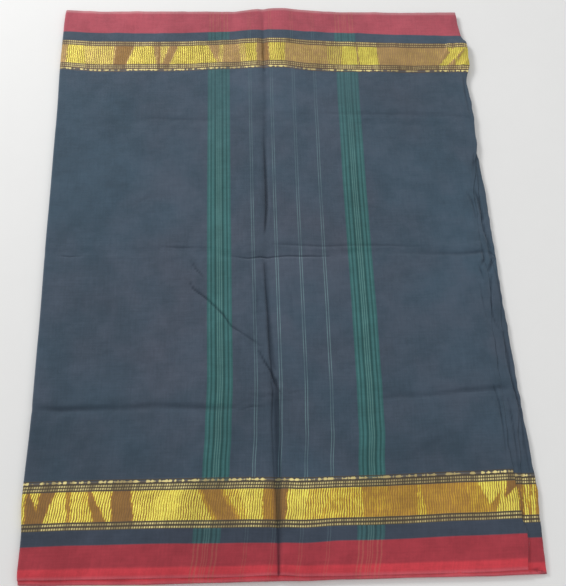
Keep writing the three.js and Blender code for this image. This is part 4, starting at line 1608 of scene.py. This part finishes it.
class SAREE_OT_studio(Operator):
    """Lay the floor and set the lights and the camera"""

    bl_idname = "saree.studio"
    bl_label = "Studio"

    def execute(self, context):
        studio = context.scene.saree_studio
        lay_floor(studio)
        hang_lights(context.scene, studio)
        place_camera(context.scene, studio)
        return {"FINISHED"}


class SAREE_OT_pallu(Operator):
    """Build the top stretch, which is turned down round the left fold"""

    bl_idname = "saree.pallu"
    bl_label = "Top stretch"

    def execute(self, context):
        look = context.scene.saree_cloth
        mesh = cloth_stretch(
            "pallu_cloth",
            top=PILE_HEIGHT,
            grid=PALLU_GRID,
            right_end=right_of("pallu", seed=1),
            wall=look.wall / MM,
            slipped=False,
            strength=look.crease,
            dents=(),
            extra=pallu_relief,
            drop_to=0.0,
            settle=PALLU_SETTLE,
        )
        piece = add_piece(mesh, "pallu_panel")
        return {"FINISHED"}


class SAREE_OT_under_stretches(Operator):
    """Build the second and third stretch, which show along the right end and the front"""

    bl_idname = "saree.under_stretches"
    bl_label = "Second and third stretch"

    def execute(self, context):
        look = context.scene.saree_cloth
        below = HIDDEN_HEIGHT * (1 - WALL_SHARE) / HIDDEN_STEPS
        for place, row in enumerate(UNDER_STRETCHES, 1):
            mesh = cloth_stretch(
                row["name"],
                top=row["top"],
                grid=UNDER_GRID,
                right_end=right_of(row["column"], SECOND_SLIP, seed=place + 1),
                wall=look.wall / MM,
                slipped=True,
                strength=row["share"] * look.crease,
                dents=EDGE_DENTS,
                extra=no_relief,
                drop_to=place * below,
                settle=UNDER_SETTLE,
            )
            piece = add_piece(mesh, row["node"])
        return {"FINISHED"}


class SAREE_OT_hidden_layers(Operator):
    """Build the five layers below as two long strips, folded to and fro"""

    bl_idname = "saree.hidden_layers"
    bl_label = "Layers below"

    def execute(self, context):
        for name, layers, leftmost, rests_on in (
            ("hidden_cloth_upper", (4, 5, 8), False, "floor"),
            ("hidden_cloth_lower", (6, 7), True, "hidden_cloth_upper"),
        ):
            mesh = strip_mesh(name, layers, leftmost)
            piece = add_piece(mesh, "folded_layers")
        return {"FINISHED"}


STEPS = (SAREE_OT_studio, SAREE_OT_hidden_layers, SAREE_OT_under_stretches, SAREE_OT_pallu)


class SAREE_PT_panel(Panel):
    """Lists the steps and the settings"""

    bl_label = "Folded saree"
    bl_idname = "SAREE_PT_panel"
    bl_space_type = "VIEW_3D"
    bl_region_type = "UI"
    bl_category = "Saree"

    def draw(self, context):
        for step in STEPS:
            self.layout.operator(step.bl_idname)
        for settings in (context.scene.saree_cloth, context.scene.saree_studio):
            for name in settings.__annotations__:
                self.layout.prop(settings, name)


# ---------------------------------------------------------------- the studio

# In metres, as are the places of the lights and the camera.
FLOOR_SIZE = 12.0
FLOOR_GAP = 0.0004
FLOOR_UNEVENNESS = 0.006
# Both lights face the middle of the pile, and a light's power is the setting of its name.
LIGHTS = (
    dict(name="key", size=(1.1, 0.9), place=(-1.9, 2.2, 1.7)),
    dict(name="fill", size=(1.4, 1.4), place=(1.7, -0.6, 1.8)),
)
CAMERA_PLACE = (-0.0687, -0.7742, 1.3936)
CAMERA_TURN = (0.4632, -0.04327, -0.03293)  # about x, y and z, in radians
SENSOR_WIDTH = 36.0  # in mm


def lay_floor(studio):
    """A square floor just below the cloth."""
    half = FLOOR_SIZE / 2
    corners = [(x, y, -FLOOR_GAP) for x, y in ((-half, -half), (half, -half), (half, half), (-half, half))]
    mesh = bpy.data.meshes.new("floor")
    mesh.from_pydata(corners, [], [(0, 1, 2, 3)])
    material, wires, surface = new_material("floor_paper")
    place = wires.add("ShaderNodeTexCoord").outputs["Object"]
    cloud = wires.group(built_once("dye cloud", dye_cloud), place=place)["Cloud"]
    shade = wires.math("MULTIPLY", cloud, FLOOR_UNEVENNESS)
    wires.put(surface.inputs["Base Color"], lighter(wires, paint(studio.floor), shade))
    surface.inputs["Roughness"].default_value = 0.9
    surface.inputs["Specular IOR Level"].default_value = 0.1
    mesh.materials.append(material)
    floor = bpy.data.objects.new("floor", mesh)
    bpy.context.scene.collection.objects.link(floor)


def hang_lights(scene, studio):
    """A large soft light behind on the left, a weaker one on the right, and even light all round."""
    for row in LIGHTS:
        light = bpy.data.lights.new(row["name"] + "_light", "AREA")
        light.shape = "RECTANGLE"
        light.size, light.size_y = row["size"]
        light.energy = getattr(studio, row["name"])
        lamp = bpy.data.objects.new(light.name, light)
        lamp.location = row["place"]
        lamp.rotation_euler = lamp.location.to_track_quat("Z", "Y").to_euler()
        scene.collection.objects.link(lamp)
    world = bpy.data.worlds.new("studio")
    world.use_nodes = True
    background = world.node_tree.nodes["Background"]
    background.inputs["Color"].default_value = (1.0, 1.0, 1.0, 1.0)
    background.inputs["Strength"].default_value = studio.sky
    scene.world = world
    scene.view_settings.view_transform = "Standard"


def place_camera(scene, studio):
    """The camera above the front edge, looking down at the pile."""
    camera = bpy.data.cameras.new("camera")
    camera.lens = studio.lens
    camera.sensor_width = SENSOR_WIDTH
    eye = bpy.data.objects.new("camera", camera)
    eye.location = CAMERA_PLACE
    eye.rotation_euler = CAMERA_TURN
    scene.collection.objects.link(eye)
    scene.camera = eye


# ---------------------------------------------------------------- running it

CLASSES = (SareeCloth, SareeStudio, *STEPS, SAREE_PT_panel)


def register():
    """Makes the classes and the two groups of settings known."""
    for kind in CLASSES:
        bpy.utils.register_class(kind)
    bpy.types.Scene.saree_cloth = PointerProperty(type=SareeCloth)
    bpy.types.Scene.saree_studio = PointerProperty(type=SareeStudio)


def unregister():
    """Takes the settings and the classes away again."""
    del bpy.types.Scene.saree_studio
    del bpy.types.Scene.saree_cloth
    for kind in reversed(CLASSES):
        bpy.utils.unregister_class(kind)


def main():
    """Builds the scene step by step."""
    register()
    for step in STEPS:
        group, name = step.bl_idname.split(".")
        getattr(getattr(bpy.ops, group), name)()


if __name__ == "__main__":
    main()
